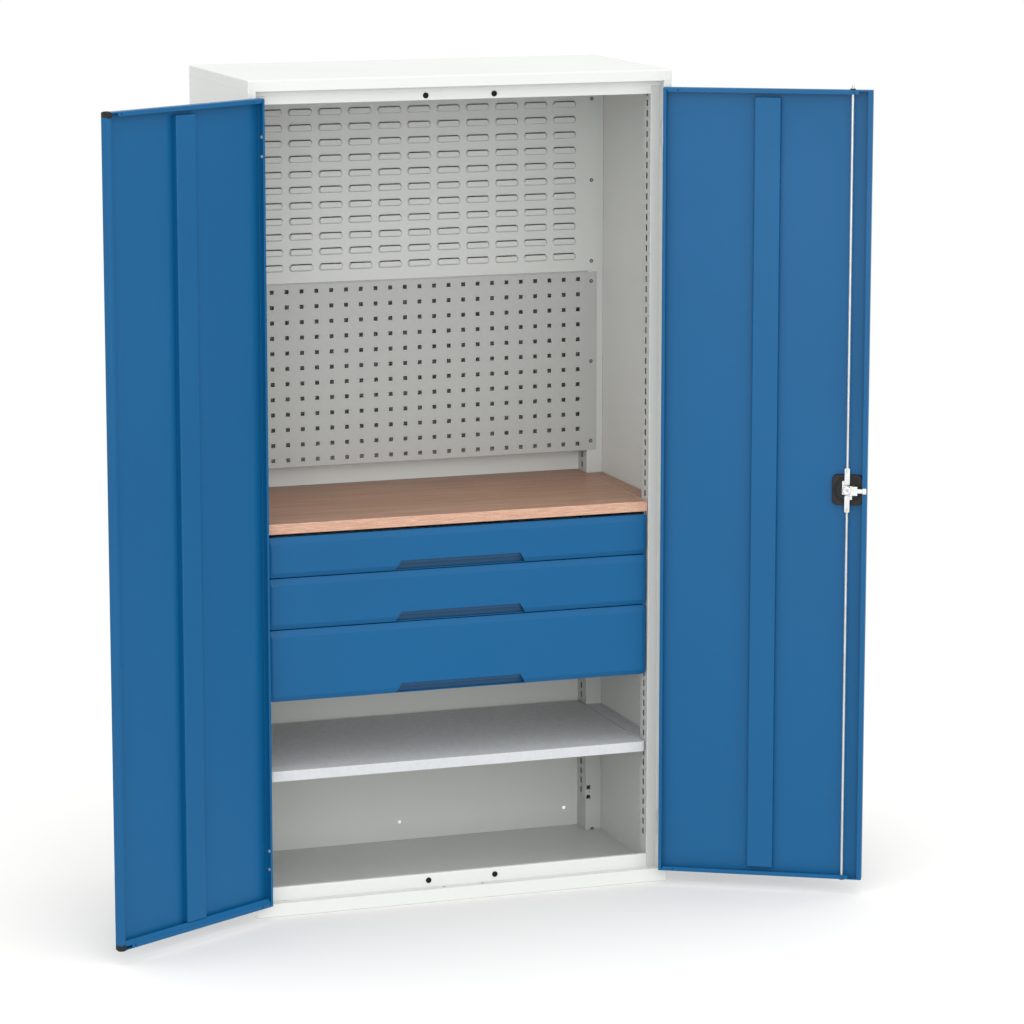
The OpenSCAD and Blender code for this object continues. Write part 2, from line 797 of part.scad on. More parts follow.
// A drawer front's outer form, drawn in by an inset and open at the back where inset
module drawer_front_form(z, inset) {
    x = drawer_front_x - inset;
    y = [face_y + inset, drawer_back_y + (inset > 0 ? past : 0)];
    low = z[0] + inset;
    high = z[1] - inset;
    profile = [
        [y[0] + bevel_d, low], [y[0], low + lower_bevel_h], [y[0], high - upper_bevel_h],
        [y[0] + bevel_d, high], [y[1], high], [y[1], low]
    ];
    intersection() {
        sideways([-x, x]) polygon(profile);
        upright(y) rounded([-x, x], [low, high], drawer_front_corner_r - inset);
        translate([0, 0, low]) linear_extrude(high - low) front_rounded([-x, x], y, front_end_r - inset);
    }
}

// The handle opening's outline in X and Z
module handle_opening(z) {
    half = handle_w / 2;
    polygon([
        [-half, z[0] - past], [half, z[0] - past], [half, z[0]], [half - handle_slope, z[0] + handle_h],
        [handle_slope - half, z[0] + handle_h], [-half, z[0]]
    ]);
}

module drawer_front(drawer) {
    z = [drawer_bottoms[drawer], drawer_bottoms[drawer] + drawer_modules[drawer] - drawer_gap];
    half = handle_w / 2 + grip_strip_margin;
    strip_z = [z[0] + handle_h - grip_strip_h, z[0] + handle_h + grip_strip_margin];
    strip_y = [face_y + grip_strip_depth, face_y + grip_strip_depth + sheet_t];
    color(front_paint) {
        difference() {
            drawer_front_form(z, 0);
            drawer_front_form(z, sheet_t);
            upright([face_y - past, face_y + handle_cut_depth]) handle_opening(z);
        }
        block([-half, half], strip_y, strip_z);
        block([-half, half], [face_y + sheet_t, strip_y[1]], [strip_z[1] - sheet_t, strip_z[1]]);
    }
}

// An open tray whose front wall closes the drawer front's shell
module drawer_tray(drawer) {
    z = [drawer_bottoms[drawer], drawer_bottoms[drawer] + drawer_modules[drawer] - drawer_gap];
    floor_height = z[0] + tray_rise;
    color(body_paint) {
        block([-tray_x, tray_x], [drawer_back_y, drawer_back_y + tray_t], z);
        difference() {
            block([-tray_x, tray_x], [drawer_back_y, tray_back_y], [floor_height, z[1] - tray_drop]);
            block([tray_t - tray_x, tray_x - tray_t], [drawer_back_y + tray_t, tray_back_y - tray_t],
                [floor_height + tray_t, z[1]]);
        }
    }
}

// ---- Shelf ----

// The shelf's plan, wider along the front
module shelf_plan(inset) {
    nose_d = rack_front_y - shelf_nose_y - 1.5;
    nose_x = shelf_nose_x - inset;
    nose_y = [shelf_nose_y + inset, shelf_nose_y + nose_d - inset];
    front_rounded([-nose_x, nose_x], nose_y, shelf_corner_r - inset);
    rectangle([inset - shelf_x, shelf_x - inset], [shelf_nose_y + shelf_corner_r, rack_back_y - inset]);
}

module shelf() {
    color(galvanised) difference() {
        translate([0, 0, shelf_z]) linear_extrude(shelf_h) shelf_plan(0);
        translate([0, 0, shelf_z + shelf_t]) linear_extrude(shelf_h - 2 * shelf_t) shelf_plan(shelf_t);
        block([shelf_flange - shelf_x, shelf_x - shelf_flange],
            [shelf_nose_y + shelf_flange, rack_back_y - shelf_flange],
            [shelf_z - past, shelf_z + shelf_t + past]);
    }
}

// A rail hooked to both posts, with a ledge for the shelf and a flange out to the side panel
module shelf_support() {
    web_x = [rack_x - sheet_t, rack_x];
    z = [shelf_z - sheet_t, shelf_top_z];
    color(galvanised) {
        block(web_x, [rack_front_y, rack_back_y], z);
        block([web_x[0] - shelf_ledge, web_x[1]], [rack_front_y, rack_back_y], [z[0], z[0] + sheet_t]);
        block([web_x[0], rack_flange_x], between_posts_y, [z[1] - sheet_t, z[1]]);
        for (y = [front_slot_y, rear_slot_y]) {
            slot_hook(y, slot_height(shelf_slot));
        }
    }
}

// ---- Doors ----

// Swings what belongs to the right door from its closed place to where it is drawn
module opened() {
    translate([hinge_x, hinge_y, 0]) rotate([0, 0, door_open]) translate([-hinge_x, -hinge_y, 0]) children();
}

// A door panel with folded edges and narrow lips turned in behind
module door_panel() {
    inside_y = [front_y + sheet_t, door_y[1] - sheet_t];
    difference() {
        block(door_x, door_y, door_z);
        block(door_x + [sheet_t, -sheet_t], inside_y, door_z + [sheet_t, -sheet_t]);
        block(door_x + [closing_lip, -hinge_lip], [inside_y[0], door_y[1] + past],
            door_z + [door_lip, -door_lip]);
        for (z = [door_z[0] + door_lip / 2, door_z[1] - door_lip / 2]) {
            for (x = [door_x[0] + vent_inset, door_x[1] - vent_inset]) {
                upright([inside_y[1] - past, door_y[1] + past]) translate([x, z]) circle(d = vent_d);
            }
        }
        rivet_places() cylinder(d = rivet_d, h = 2 * sheet_t + 2 * past, center = true);
    }
}

// Rivet axes through the door's hinge edge, along X
module rivet_places() {
    for (z = hinge_z) {
        for (step = [-rivet_pitch / 2, rivet_pitch / 2]) {
            translate([door_x[1], front_y + rivet_depth, z + step]) rotate([0, 90, 0]) children();
        }
    }
}

module left_door_panel() {
    color(front_paint) left() opened() door_panel();
}

module right_door_panel() {
    color(front_paint) opened() difference() {
        door_panel();
        at_depth([-past, sheet_t + past]) circle(r = cup_outer_r + fit);
        translate([lock_x, front_y + rod_depth, door_z[0] - past]) {
            cylinder(r = rod_guide_neck_r, h = sheet_t + 2 * past);
        }
        translate([lock_x, front_y + rod_depth, door_z[1] - sheet_t - past]) {
            cylinder(r = rod_guide_neck_r, h = sheet_t + 2 * past);
        }
    }
}

// A channel that stiffens the door down its middle
module door_stiffener() {
    half = stiffener_w / 2;
    x = [door_middle_x - half, door_middle_x + half];
    y = [front_y + sheet_t, front_y + sheet_t + stiffener_d];
    z = door_z + [stiffener_end_gap, -stiffener_end_gap];
    color(front_paint) opened() difference() {
        block(x, y, z);
        block(x + [stiffener_t, -stiffener_t], y + [-past, -stiffener_t], z + [-past, past]);
    }
}

// Plastic glides on the closing corners of the left door
module left_door_glides() {
    x = [door_x[0], door_x[0] + glide_l];
    middle_y = (door_y[0] + door_y[1]) / 2;
    y = [middle_y - glide_w / 2, middle_y + glide_w / 2];
    color(black_plastic) left() opened() {
        for (z = [door_z[0] - glide_t, door_z[1]]) {
            translate([0, 0, z]) linear_extrude(glide_t) rounded(x, y, glide_w / 3);
        }
    }
}

// ---- Hinges ----

// Knuckles between two heights with a bore for the pin
module knuckle(z, bore_d) {
    translate([hinge_x, hinge_y, z[0]]) linear_extrude(z[1] - z[0]) difference() {
        circle(d = knuckle_d);
        circle(d = bore_d);
    }
}

// A leaf with necks that reach forward to the knuckles
module hinge_leaf(x, necks, bore_d) {
    wall = (knuckle_d - bore_d) / 2;
    for (z = hinge_z) {
        block(x, [front_y, leaf_end_y], [z - hinge_h / 2, z + hinge_h / 2]);
        for (neck = necks) {
            knuckle([z + neck[0], z + neck[1]], bore_d);
            difference() {
                block(x, [hinge_y, front_y], [z + neck[0], z + neck[1]]);
                translate([hinge_x, hinge_y, z]) cylinder(d = bore_d + wall, h = hinge_h, center = true);
            }
        }
    }
}

module hinge_body_leaves() {
    outer = hinge_h / 2;
    inner = knuckle_h / 2 + knuckle_play / 2;
    color(zinc) hinge_leaf([lip_x - leaf_t, lip_x], [[-outer, -inner], [inner, outer]], hinge_pin_d);
}

module hinge_door_leaves() {
    inner = knuckle_h / 2 - knuckle_play / 2;
    color(zinc) opened() difference() {
        hinge_leaf([door_x[1], door_x[1] + leaf_t], [[-inner, inner]], hinge_pin_d + 2 * pin_clearance);
        rivet_places() cylinder(d = rivet_d, h = 2 * leaf_t + 2 * past, center = true);
    }
}

module hinge_pins() {
    color(zinc) for (z = hinge_z) {
        translate([hinge_x, hinge_y, z - hinge_h / 2]) cylinder(d = hinge_pin_d, h = hinge_h);
    }
}

module hinge_rivets() {
    color(zinc) opened() rivet_places() {
        translate([0, 0, -sheet_t]) cylinder(d = rivet_d, h = sheet_t + leaf_t);
        translate([0, 0, -sheet_t - rivet_head_t]) cylinder(d = rivet_head_d, h = rivet_head_t);
    }
}

// ---- Lock ----

// A flat outline round the lock's centre, thick between two depths behind the door's face
module at_depth(depth) {
    translate([lock_x, 0, lock_z]) upright([front_y + depth[0], front_y + depth[1]]) children();
}

module square_outline(side, r) {
    rounded([-side / 2, side / 2], [-side / 2, side / 2], r);
}

module spindle_bore() {
    at_depth([-cup_flange_t - past, door_t + past]) circle(d = spindle_d + 2 * fit);
}

module lock_case() {
    color(black_plastic) opened() difference() {
        at_depth([sheet_t, case_depth]) square_outline(case_w, case_r);
        at_depth([sheet_t - past, cup_depth + cup_floor_t]) circle(r = cup_outer_r + fit);
        spindle_bore();
    }
}

module handle_cup() {
    color(black_plastic) opened() difference() {
        union() {
            at_depth([-cup_flange_t, 0]) square_outline(cup_flange_w, case_r);
            at_depth([-cup_flange_t, cup_depth + cup_floor_t]) circle(r = cup_outer_r);
        }
        at_depth([-cup_flange_t - past, cup_depth]) circle(d = cup_d);
        spindle_bore();
    }
}

module rotary_handle() {
    grip_depth = [-grip_out, handle_disc_depth[1]];
    color(black_plastic) opened() difference() {
        union() {
            at_depth(handle_disc_depth) circle(d = cup_d - 2 * handle_clearance);
            at_depth(grip_depth) {
                rounded([-grip_l / 2, grip_l / 2], [-grip_w / 2, grip_w / 2], grip_w / 2 - fit);
            }
        }
        at_depth([-grip_out - past, barrel_l - grip_out + barrel_floor]) circle(d = barrel_d + 2 * fit);
        at_depth([spindle_start, cup_depth]) circle(d = spindle_d);
    }
}

// The key barrel with its key slot
module lock_barrel() {
    key_slot_w = 1.5;
    key_slot_l = barrel_d / 2;
    key_slot_d = 4;
    color(zinc) opened() difference() {
        at_depth([-grip_out, barrel_l - grip_out]) circle(d = barrel_d);
        at_depth([-grip_out - past, key_slot_d - grip_out]) {
            rectangle([-key_slot_w / 2, key_slot_w / 2], [-key_slot_l / 2, key_slot_l / 2]);
        }
    }
}

module lock_spindle() {
    color(zinc) opened() at_depth([spindle_start, cam_depth[1]]) circle(d = spindle_d);
}

// The cam turns the spindle's quarter turn into the travel of both rods and the bolt
module lock_cam() {
    color(zinc) opened() {
        at_depth(cam_depth) difference() {
            circle(d = cam_d);
            circle(d = spindle_d);
        }
        for (place = [[crank_offset, -crank_offset], [-crank_offset, crank_offset]]) {
            at_depth([rod_bar_depth[0], cam_depth[0]]) translate(place) circle(d = crank_pin_d);
        }
        at_depth([cam_depth[1], bolt_depth[1]]) {
            translate([crank_offset, crank_offset]) circle(d = crank_pin_d);
        }
    }
}

// The flattened end of a lock rod, with an open slot for the cam's pin
module rod_end() {
    pin_z = -crank_offset;
    slot_z = [pin_z - yoke_slot_h / 2, pin_z + yoke_slot_h / 2];
    difference() {
        rectangle(yoke_x, [slot_z[0] - yoke_arm, yoke_shoulder_z + past]);
        rectangle([yoke_x[0] - past, yoke_slot_end], slot_z);
    }
    rectangle([-rod_neck_w / 2, yoke_x[1]], [yoke_shoulder_z, yoke_shoulder_z + rod_neck_w]);
    rectangle([-rod_neck_w / 2, rod_neck_w / 2], [yoke_shoulder_z, rod_neck_end]);
}

module upper_lock_rod() {
    start_z = lock_z + rod_start;
    color(zinc) opened() {
        at_depth(rod_bar_depth) rod_end();
        translate([lock_x, front_y + rod_depth, start_z]) cylinder(d = rod_d, h = upper_rod_tip_z - start_z);
    }
}

module lower_lock_rod() {
    start_z = lock_z - rod_start;
    color(zinc) opened() {
        at_depth(rod_bar_depth) rotate(180) rod_end();
        translate([lock_x, front_y + rod_depth, lower_rod_tip_z]) {
            cylinder(d = rod_d, h = start_z - lower_rod_tip_z);
        }
    }
}

// Catches behind the left door's closing lip when thrown
module centre_bolt() {
    tip_x = bolt_tip_gap - lock_setback;
    slot_x = [crank_offset - yoke_slot_h / 2, crank_offset + yoke_slot_h / 2];
    slot_z = [crank_offset - crank_pin_d / 2 - yoke_play, yoke_slot_end];
    color(zinc) opened() at_depth(bolt_depth) difference() {
        union() {
            rectangle([tip_x, 0], [-bolt_h / 2, bolt_h / 2]);
            rectangle([-past, slot_x[1] + yoke_arm], [-bolt_h / 2, slot_z[1] + yoke_arm]);
        }
        rectangle(slot_x, slot_z);
    }
}

module bolt_guide() {
    half = bolt_h / 2 + layer_gap;
    x = [bolt_tip_gap + 0.5 - lock_setback, closing_lip - 1.5 - lock_setback];
    color(zinc) opened() {
        for (z = [[-half - guide_wall, -half], [half, half + guide_wall]]) {
            at_depth([door_t, bolt_depth[1] + layer_gap + guide_roof]) rectangle(x, z);
        }
        at_depth([bolt_depth[1] + layer_gap, bolt_depth[1] + layer_gap + guide_roof]) {
            rectangle(x, [-half - guide_wall, half + guide_wall]);
        }
    }
}

// Flanged bushes that lead the rods through the top and bottom edges of the door
module rod_guides() {
    color(black_plastic) opened() {
        rod_guide([door_z[1] - sheet_t, door_z[1]], [door_z[1], door_z[1] + rod_guide_t]);
        rod_guide([door_z[0], door_z[0] + sheet_t], [lower_rod_tip_z, door_z[0]]);
    }
}

module rod_guide(neck_z, flange_z) {
    translate([lock_x, front_y + rod_depth, 0]) difference() {
        union() {
            translate([0, 0, neck_z[0]]) cylinder(r = rod_guide_neck_r, h = neck_z[1] - neck_z[0]);
            translate([0, 0, flange_z[0]]) cylinder(d = rod_guide_d, h = flange_z[1] - flange_z[0]);
        }
        translate([0, 0, min(neck_z[0], flange_z[0]) - past]) {
            cylinder(d = rod_d + 2 * fit, h = rod_guide_t + sheet_t + 3 * past);
        }
    }
}

roof_cap();
base_pan();
base_cross_member();
left() side_panel();  // left_side_panel
side_panel();  // right_side_panel
back_panel();
left() front_post();  // left_front_post
front_post();  // right_front_post
left() rear_post();  // left_rear_post
rear_post();  // right_rear_post
top_rail();
bottom_rail();
door_buffers();
louvre_panel();
perforated_panel();
panel_screws();
worktop();
left() drawer_housing();  // left_drawer_housing
drawer_housing();  // right_drawer_housing
drawer_housing_floor();
fixed_runner_rails();
shelf();
left() shelf_support();  // left_shelf_support
shelf_support();  // right_shelf_support
left() hinge_body_leaves();  // left_hinge_body_leaves
left() hinge_pins();  // left_hinge_pins
hinge_body_leaves();  // right_hinge_body_leaves
hinge_pins();  // right_hinge_pins
left_door_panel();
left() door_stiffener();  // left_door_stiffener
left_door_glides();
left() hinge_door_leaves();  // left_hinge_door_leaves
left() hinge_rivets();  // left_hinge_rivets
right_door_panel();
door_stiffener();  // right_door_stiffener
hinge_door_leaves();  // right_hinge_door_leaves
hinge_rivets();  // right_hinge_rivets
lock_case();
handle_cup();
rod_guides();
bolt_guide();
rotary_handle();
lock_spindle();
lock_cam();
lock_barrel();
upper_lock_rod();
lower_lock_rod();
centre_bolt();
drawer_front(0);  // bottom_drawer_front
drawer_tray(0);  // bottom_drawer_tray
runner_sliders(0);  // bottom_runner_sliders
runner_members(0);  // bottom_runner_members
drawer_front(1);  // middle_drawer_front
drawer_tray(1);  // middle_drawer_tray
runner_sliders(1);  // middle_runner_sliders
runner_members(1);  // middle_runner_members
drawer_front(2);  // top_drawer_front
drawer_tray(2);  // top_drawer_tray
runner_sliders(2);  // top_runner_sliders
runner_members(2);  // top_runner_members
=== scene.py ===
"""A tall steel tool cabinet with two doors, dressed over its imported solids.

Shapes are worked out in millimetres in the cabinet's own frame (+Z up, open front towards -Y) and put into
meshes in metres. Doors are drawn closed on the right and then swung or mirrored to where they stand.
"""

import json
import math

import bmesh
import bpy
import numpy as np
from bpy.props import FloatProperty, FloatVectorProperty, PointerProperty
from mathutils import Matrix, Vector
from mathutils.geometry import delaunay_2d_cdt

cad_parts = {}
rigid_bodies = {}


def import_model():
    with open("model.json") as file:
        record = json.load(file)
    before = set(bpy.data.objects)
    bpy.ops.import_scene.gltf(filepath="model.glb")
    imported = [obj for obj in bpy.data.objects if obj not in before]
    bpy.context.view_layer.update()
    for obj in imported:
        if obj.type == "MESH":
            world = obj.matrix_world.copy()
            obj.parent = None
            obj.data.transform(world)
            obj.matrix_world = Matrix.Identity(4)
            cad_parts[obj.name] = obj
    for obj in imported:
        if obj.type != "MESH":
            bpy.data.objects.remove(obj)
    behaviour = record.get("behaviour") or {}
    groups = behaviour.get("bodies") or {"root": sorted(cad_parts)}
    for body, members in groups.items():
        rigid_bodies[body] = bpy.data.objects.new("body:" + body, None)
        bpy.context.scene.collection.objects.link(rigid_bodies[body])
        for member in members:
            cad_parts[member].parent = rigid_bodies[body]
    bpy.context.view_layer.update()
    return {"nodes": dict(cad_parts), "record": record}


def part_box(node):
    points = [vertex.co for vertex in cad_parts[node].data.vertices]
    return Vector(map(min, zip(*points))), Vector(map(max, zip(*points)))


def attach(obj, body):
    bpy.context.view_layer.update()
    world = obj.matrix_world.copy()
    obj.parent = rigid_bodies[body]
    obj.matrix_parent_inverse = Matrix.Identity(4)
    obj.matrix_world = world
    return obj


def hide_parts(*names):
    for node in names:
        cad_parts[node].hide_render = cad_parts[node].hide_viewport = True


bl_info = {
    "name": "Tool Cabinet",
    "version": (1, 0, 0),
    "blender": (4, 5, 0),
    "location": "3D View > Sidebar > Cabinet",
    "description": "Dresses a packed tool cabinet with sheet metal, fittings and finishes",
    "category": "Add Mesh",
}

for leftover in list(bpy.data.objects):
    bpy.data.objects.remove(leftover)
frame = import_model()


def limits(node):
    """Lowest and highest corner of a CAD node, in millimetres."""
    low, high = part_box(node)
    return np.array(low) * 1000, np.array(high) * 1000


# Main planes of the cabinet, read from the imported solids
CAP_LOW, CAP_HIGH = limits("roof_cap")
PAN_TOP = limits("base_pan")[1][2]
SIDE_LOW, SIDE_HIGH = limits("right_side_panel")
FRONT_POST_LOW, FRONT_POST_HIGH = limits("right_front_post")
REAR_POST_LOW, REAR_POST_HIGH = limits("right_rear_post")
HALF_W, FRONT_Y, BACK_Y, TOP_Z = CAP_HIGH[0], CAP_LOW[1], CAP_HIGH[1], CAP_HIGH[2]
POST_X, FACE_Y, FLOOR_Z = FRONT_POST_LOW

# Sizes that several pieces share
SHEET, THIN_SHEET, POST_SHEET = 1.5, 1.2, 1.0
BEND, TIGHT_BEND, CORNER = 2.0, 1.8, 2.5
DOOR_X, DOOR_Z, DOOR_T = (1.5, 502.0), (35.5, 1960.5), 22.0
LOCK_X, LOCK_Z = 49.5, 1000.0
HINGE_X, HINGE_AHEAD = 503.5, 4.0
ROD_DEPTH, ROD_HOLE = 15.5, 5.0
FIRST_SLOT, SLOT_PITCH, HOLE_PITCH = 117.5, 25.0, 38.0
SHARP_ANGLE, OPEN_ANGLE = math.radians(32), math.radians(150)

# Where a piece drawn on the right goes
STAY = Matrix.Identity(4)
MIRROR = Matrix.Diagonal((-1, 1, 1, 1))
HINGE = Matrix.Translation((HINGE_X / 1000, (FRONT_Y - HINGE_AHEAD) / 1000, 0))
SWING = HINGE @ Matrix.Rotation(OPEN_ANGLE, 4, "Z") @ HINGE.inverted()
SIDES = (("left", MIRROR), ("right", STAY))
DOORS = (("left", MIRROR @ SWING), ("right", SWING))
DRAWERS = ("bottom", "middle", "top")


# ---- What a user may change ----

def colour(name, description, default):
    """A setting for a colour as a screen shows it."""
    return FloatVectorProperty(name=name, description=description, default=default, size=3, min=0, max=1,
                               subtype="COLOR_GAMMA")


def length(name, description, default, high):
    """A setting for a length in metres."""
    return FloatProperty(name=name, description=description, default=default, min=0, max=high, precision=4,
                         unit="LENGTH", subtype="DISTANCE")


def number(name, description, default, high, low=0, unit="NONE"):
    """A setting for any other number."""
    return FloatProperty(name=name, description=description, default=default, min=low, max=high, unit=unit)


class CabinetColours(bpy.types.PropertyGroup):
    """Colours of the finishes, as they look on a screen."""
    body_paint: colour("Body paint", "Light grey powder coat of the body", (0.785, 0.793, 0.780))
    front_paint: colour("Front paint", "Blue powder coat of doors and drawer fronts", (0.03, 0.322, 0.502))
    zinc: colour("Zinc", "Plated rods, screws and runners", (0.83, 0.84, 0.86))
    galvanised: colour("Galvanised", "Galvanised shelf and supports", (0.75, 0.76, 0.77))
    beech: colour("Beech", "Light veneer of the worktop", (0.815, 0.65, 0.56))
    beech_grain: colour("Beech grain", "Darker lines of the worktop's grain", (0.55, 0.41, 0.325))
    plastic: colour("Plastic", "Black moulded lock parts", (0.06, 0.06, 0.065))
    rubber: colour("Rubber", "Door stops", (0.06, 0.06, 0.062))
    floor: colour("Floor", "Pale floor of the stage", (0.86, 0.857, 0.85))


class CabinetSizes(bpy.types.PropertyGroup):
    """Sizes of folds, edges and textures."""
    fold: length("Fold radius", "Outside radius of folded sheet edges", 0.0025, 0.006)
    edge: length("Cut edge", "Rounding of cut sheet edges", 0.0003, 0.001)
    solid_edge: length("Solid edge", "Rounding of the edges of plain CAD parts", 0.0004, 0.002)
    wood_edge: length("Wood edge", "Rounding of the worktop's edges", 0.0012, 0.004)
    coat_grain: length("Coat grain", "Size of the powder coat's fine texture", 0.0016, 0.01)
    veneer: length("Veneer", "Thickness of one layer of the worktop", 0.0017, 0.005)


class CabinetStage(bpy.types.PropertyGroup):
    """Camera and light."""
    lens: number("Lens", "Focal length of the camera", 0.14564, 0.4, 0.02, "CAMERA")
    sky: number("Sky", "Strength of the light from all round", 1.30, 3)
    sun: number("Overhead light", "Strength of the soft light from above", 0.7, 20)
    front: number("Front light", "Power of the large lamp in front", 120, 3000, unit="POWER")
    bounce: number("Floor light", "Strength of the light that the floor sends back", 0.85, 3)


# ---- Shapes ----

def rectangle(x, y):
    """Corners of a rectangle between two values on each axis, anticlockwise."""
    return np.array([[x[0], y[0]], [x[1], y[0]], [x[1], y[1]], [x[0], y[1]]], float)


def ring(x, y, radius, steps=3):
    """Outline of a rectangle with rounded corners: each corner's centre + radius * (cos a, sin a), a over its
    quarter."""
    angle = np.arange(4)[:, None] * math.pi / 2 + np.linspace(0, math.pi / 2, steps + 1)
    corner = np.array([[1, 1], [-1, 1], [-1, -1], [1, -1]])
    half = np.array([x[1] - x[0], y[1] - y[0]]) / 2
    radius = min(radius, half.min() - 0.01)
    centre = np.array([sum(x), sum(y)]) / 2 + corner * (half - radius)
    return (centre[:, None] + radius * np.stack([np.cos(angle), np.sin(angle)], -1)).reshape(-1, 2)


def circle(centre, radius, steps=16):
    """Points centre + radius * (cos a, sin a)."""
    angle = np.arange(steps) * 2 * math.pi / steps
    return np.array(centre) + radius * np.stack([np.cos(angle), np.sin(angle)], -1)


def plan(p, q, w):
    """A profile in X and Y carried up Z."""
    return np.stack(np.broadcast_arrays(p, q, w), -1)


def section(p, q, w):
    """A profile in Y and Z carried along X."""
    return np.stack(np.broadcast_arrays(w, p, q), -1)


def elevation(p, q, w):
    """A profile in X and Z carried along Y."""
    return np.stack(np.broadcast_arrays(p, w, q), -1)


class Shape:
    """Points in millimetres and faces, gathered from several surfaces."""

    def __init__(self):
        self.points, self.faces, self.count = [], [], 0

    def add(self, points, faces):
        """One surface; its faces count from its own first point."""
        points = np.asarray(points, float).reshape(-1, 3)
        self.points.append(points)
        self.faces.append(np.asarray(faces) + self.count)
        self.count += len(points)
        return self

    def grid(self, points, close_v=False):
        """Quads between neighbours in one or more (m, n) grids of points, all the way round n if closed."""
        points = points.reshape(-1, *points.shape[-3:])
        k, m, n = points.shape[:3]
        i = np.arange(m - 1)[:, None] * n
        j = np.arange(n if close_v else n - 1)[None, :]
        after = (j + 1) % n
        quads = np.stack([i + j, i + n + j, i + n + after, i + after], -1).reshape(-1, 4)
        return self.add(points, (quads[None] + np.arange(k)[:, None, None] * m * n).reshape(-1, 4))

    def fill(self, loops, place):
        """Triangles inside closed outlines by the even-odd rule: kept where a line from the triangle's middle
        crosses an odd number of outline edges. place lays the flat points out in space."""
        points = np.concatenate(loops)
        sizes = [len(loop) for loop in loops]
        starts = np.cumsum([0] + sizes[:-1])
        edges = np.concatenate([np.stack([s + np.arange(n), s + (np.arange(n) + 1) % n], 1)
                                for s, n in zip(starts, sizes)])
        flat, _, triangles, *_ = delaunay_2d_cdt(points.tolist(), edges.tolist(), [], 0, 1e-6)
        flat, triangles = np.array(flat, float).reshape(-1, 2), np.array(triangles)
        a, b = points[edges[:, 0]], points[edges[:, 1]]
        rise = b[:, 1] - a[:, 1]
        slope = (b[:, 0] - a[:, 0]) / np.where(rise == 0, 1, rise)
        kept = []
        for part in np.array_split(triangles, 1 + len(triangles) // 400):
            x, y = flat[part].mean(1).T[:, :, None]
            crossed = ((a[:, 1] > y) != (b[:, 1] > y)) & (x < slope * (y - a[:, 1]) + a[:, 0])
            kept.append(part[crossed.sum(1) % 2 == 1])
        return self.add(place(flat[:, 0], flat[:, 1]), np.concatenate(kept))

    def lid(self, loops, height, place):
        """Closed outlines filled at one height."""
        return self.fill(loops, lambda u, v: place(u, v, height))

    def slab(self, outline, heights, place):
        """One outline carried between two heights and closed at both."""
        self.stacked([outline] * 2, heights, place)
        return self.lid([outline], heights[0], place).lid([outline], heights[1], place)

    def folded(self, profile, radius, span, place, holes=None, spans=None, steps=4):
        """A sheet bent along a profile and carried from span[0] to span[1]. Run i is flat from corner i to
        i + 1, less the tangent length radius * tan(turn / 2) at each bend. A bend is the arc
        start + radius * side * (1 - cos a) + radius * along * sin a, a from 0 to the turn. holes and spans
        go by run, and a bend spans as much as the shorter of its runs."""
        corner = np.array(profile, float)
        along = np.diff(corner, axis=0)
        size = np.linalg.norm(along, axis=1)
        along /= size[:, None]
        turn = np.arctan2(along[:-1, 0] * along[1:, 1] - along[:-1, 1] * along[1:, 0],
                          (along[:-1] * along[1:]).sum(1))
        cut = np.r_[0, radius * np.tan(abs(turn) / 2), 0]
        spans, holes = spans or {}, holes or {}
        for i, d in enumerate(along):
            run = rectangle((cut[i], size[i] - cut[i + 1]), spans.get(i, span))
            self.fill([run] + list(holes.get(i, [])),
                      lambda s, w, c=corner[i], d=d: place(c[0] + s * d[0], c[1] + s * d[1], w))
        for i, angle in enumerate(turn):
            a = np.linspace(0, abs(angle), steps + 1)[:, None]
            side = np.sign(angle) * np.array([-along[i, 1], along[i, 0]])
            arc = (corner[i + 1] - cut[i + 1] * along[i] + radius * side * (1 - np.cos(a))
                   + radius * along[i] * np.sin(a))
            ends = min(spans.get(i + 1, span), spans.get(i, span), key=np.ptp)
            self.grid(place(arc[:, :1], arc[:, 1:], np.array(ends, float)[None]))
        return self

    def stacked(self, rings, heights, place, open_seam=False):
        """Outlines of equal count at successive heights, joined into a wall."""
        outline = np.array(rings)
        height = np.broadcast_to(np.array(heights, float)[:, None], outline.shape[:2])
        return self.grid(place(outline[..., 0], outline[..., 1], height), close_v=not open_seam)

    def turned(self, profile, places, axis="y", steps=24, side=None):
        """A profile of (radius, height) turned about an axis through each place:
        place + radius * (cos a, sin a) across the axis + height along it. side(a) gives a factor for the
        radius."""
        profile, places = np.array(profile, float), np.atleast_2d(np.array(places, float))
        angle = np.arange(steps) * 2 * math.pi / steps
        factor = np.ones((len(profile), steps)) if side is None else side(angle)
        across = profile[:, :1] * factor
        u, v, h = np.broadcast_arrays(across * np.cos(angle), across * np.sin(angle), profile[:, 1:])
        order = {"x": (h, u, v), "y": (u, h, v)}[axis]
        return self.grid(np.stack(order, -1)[None] + places[:, None, None, :], close_v=True)


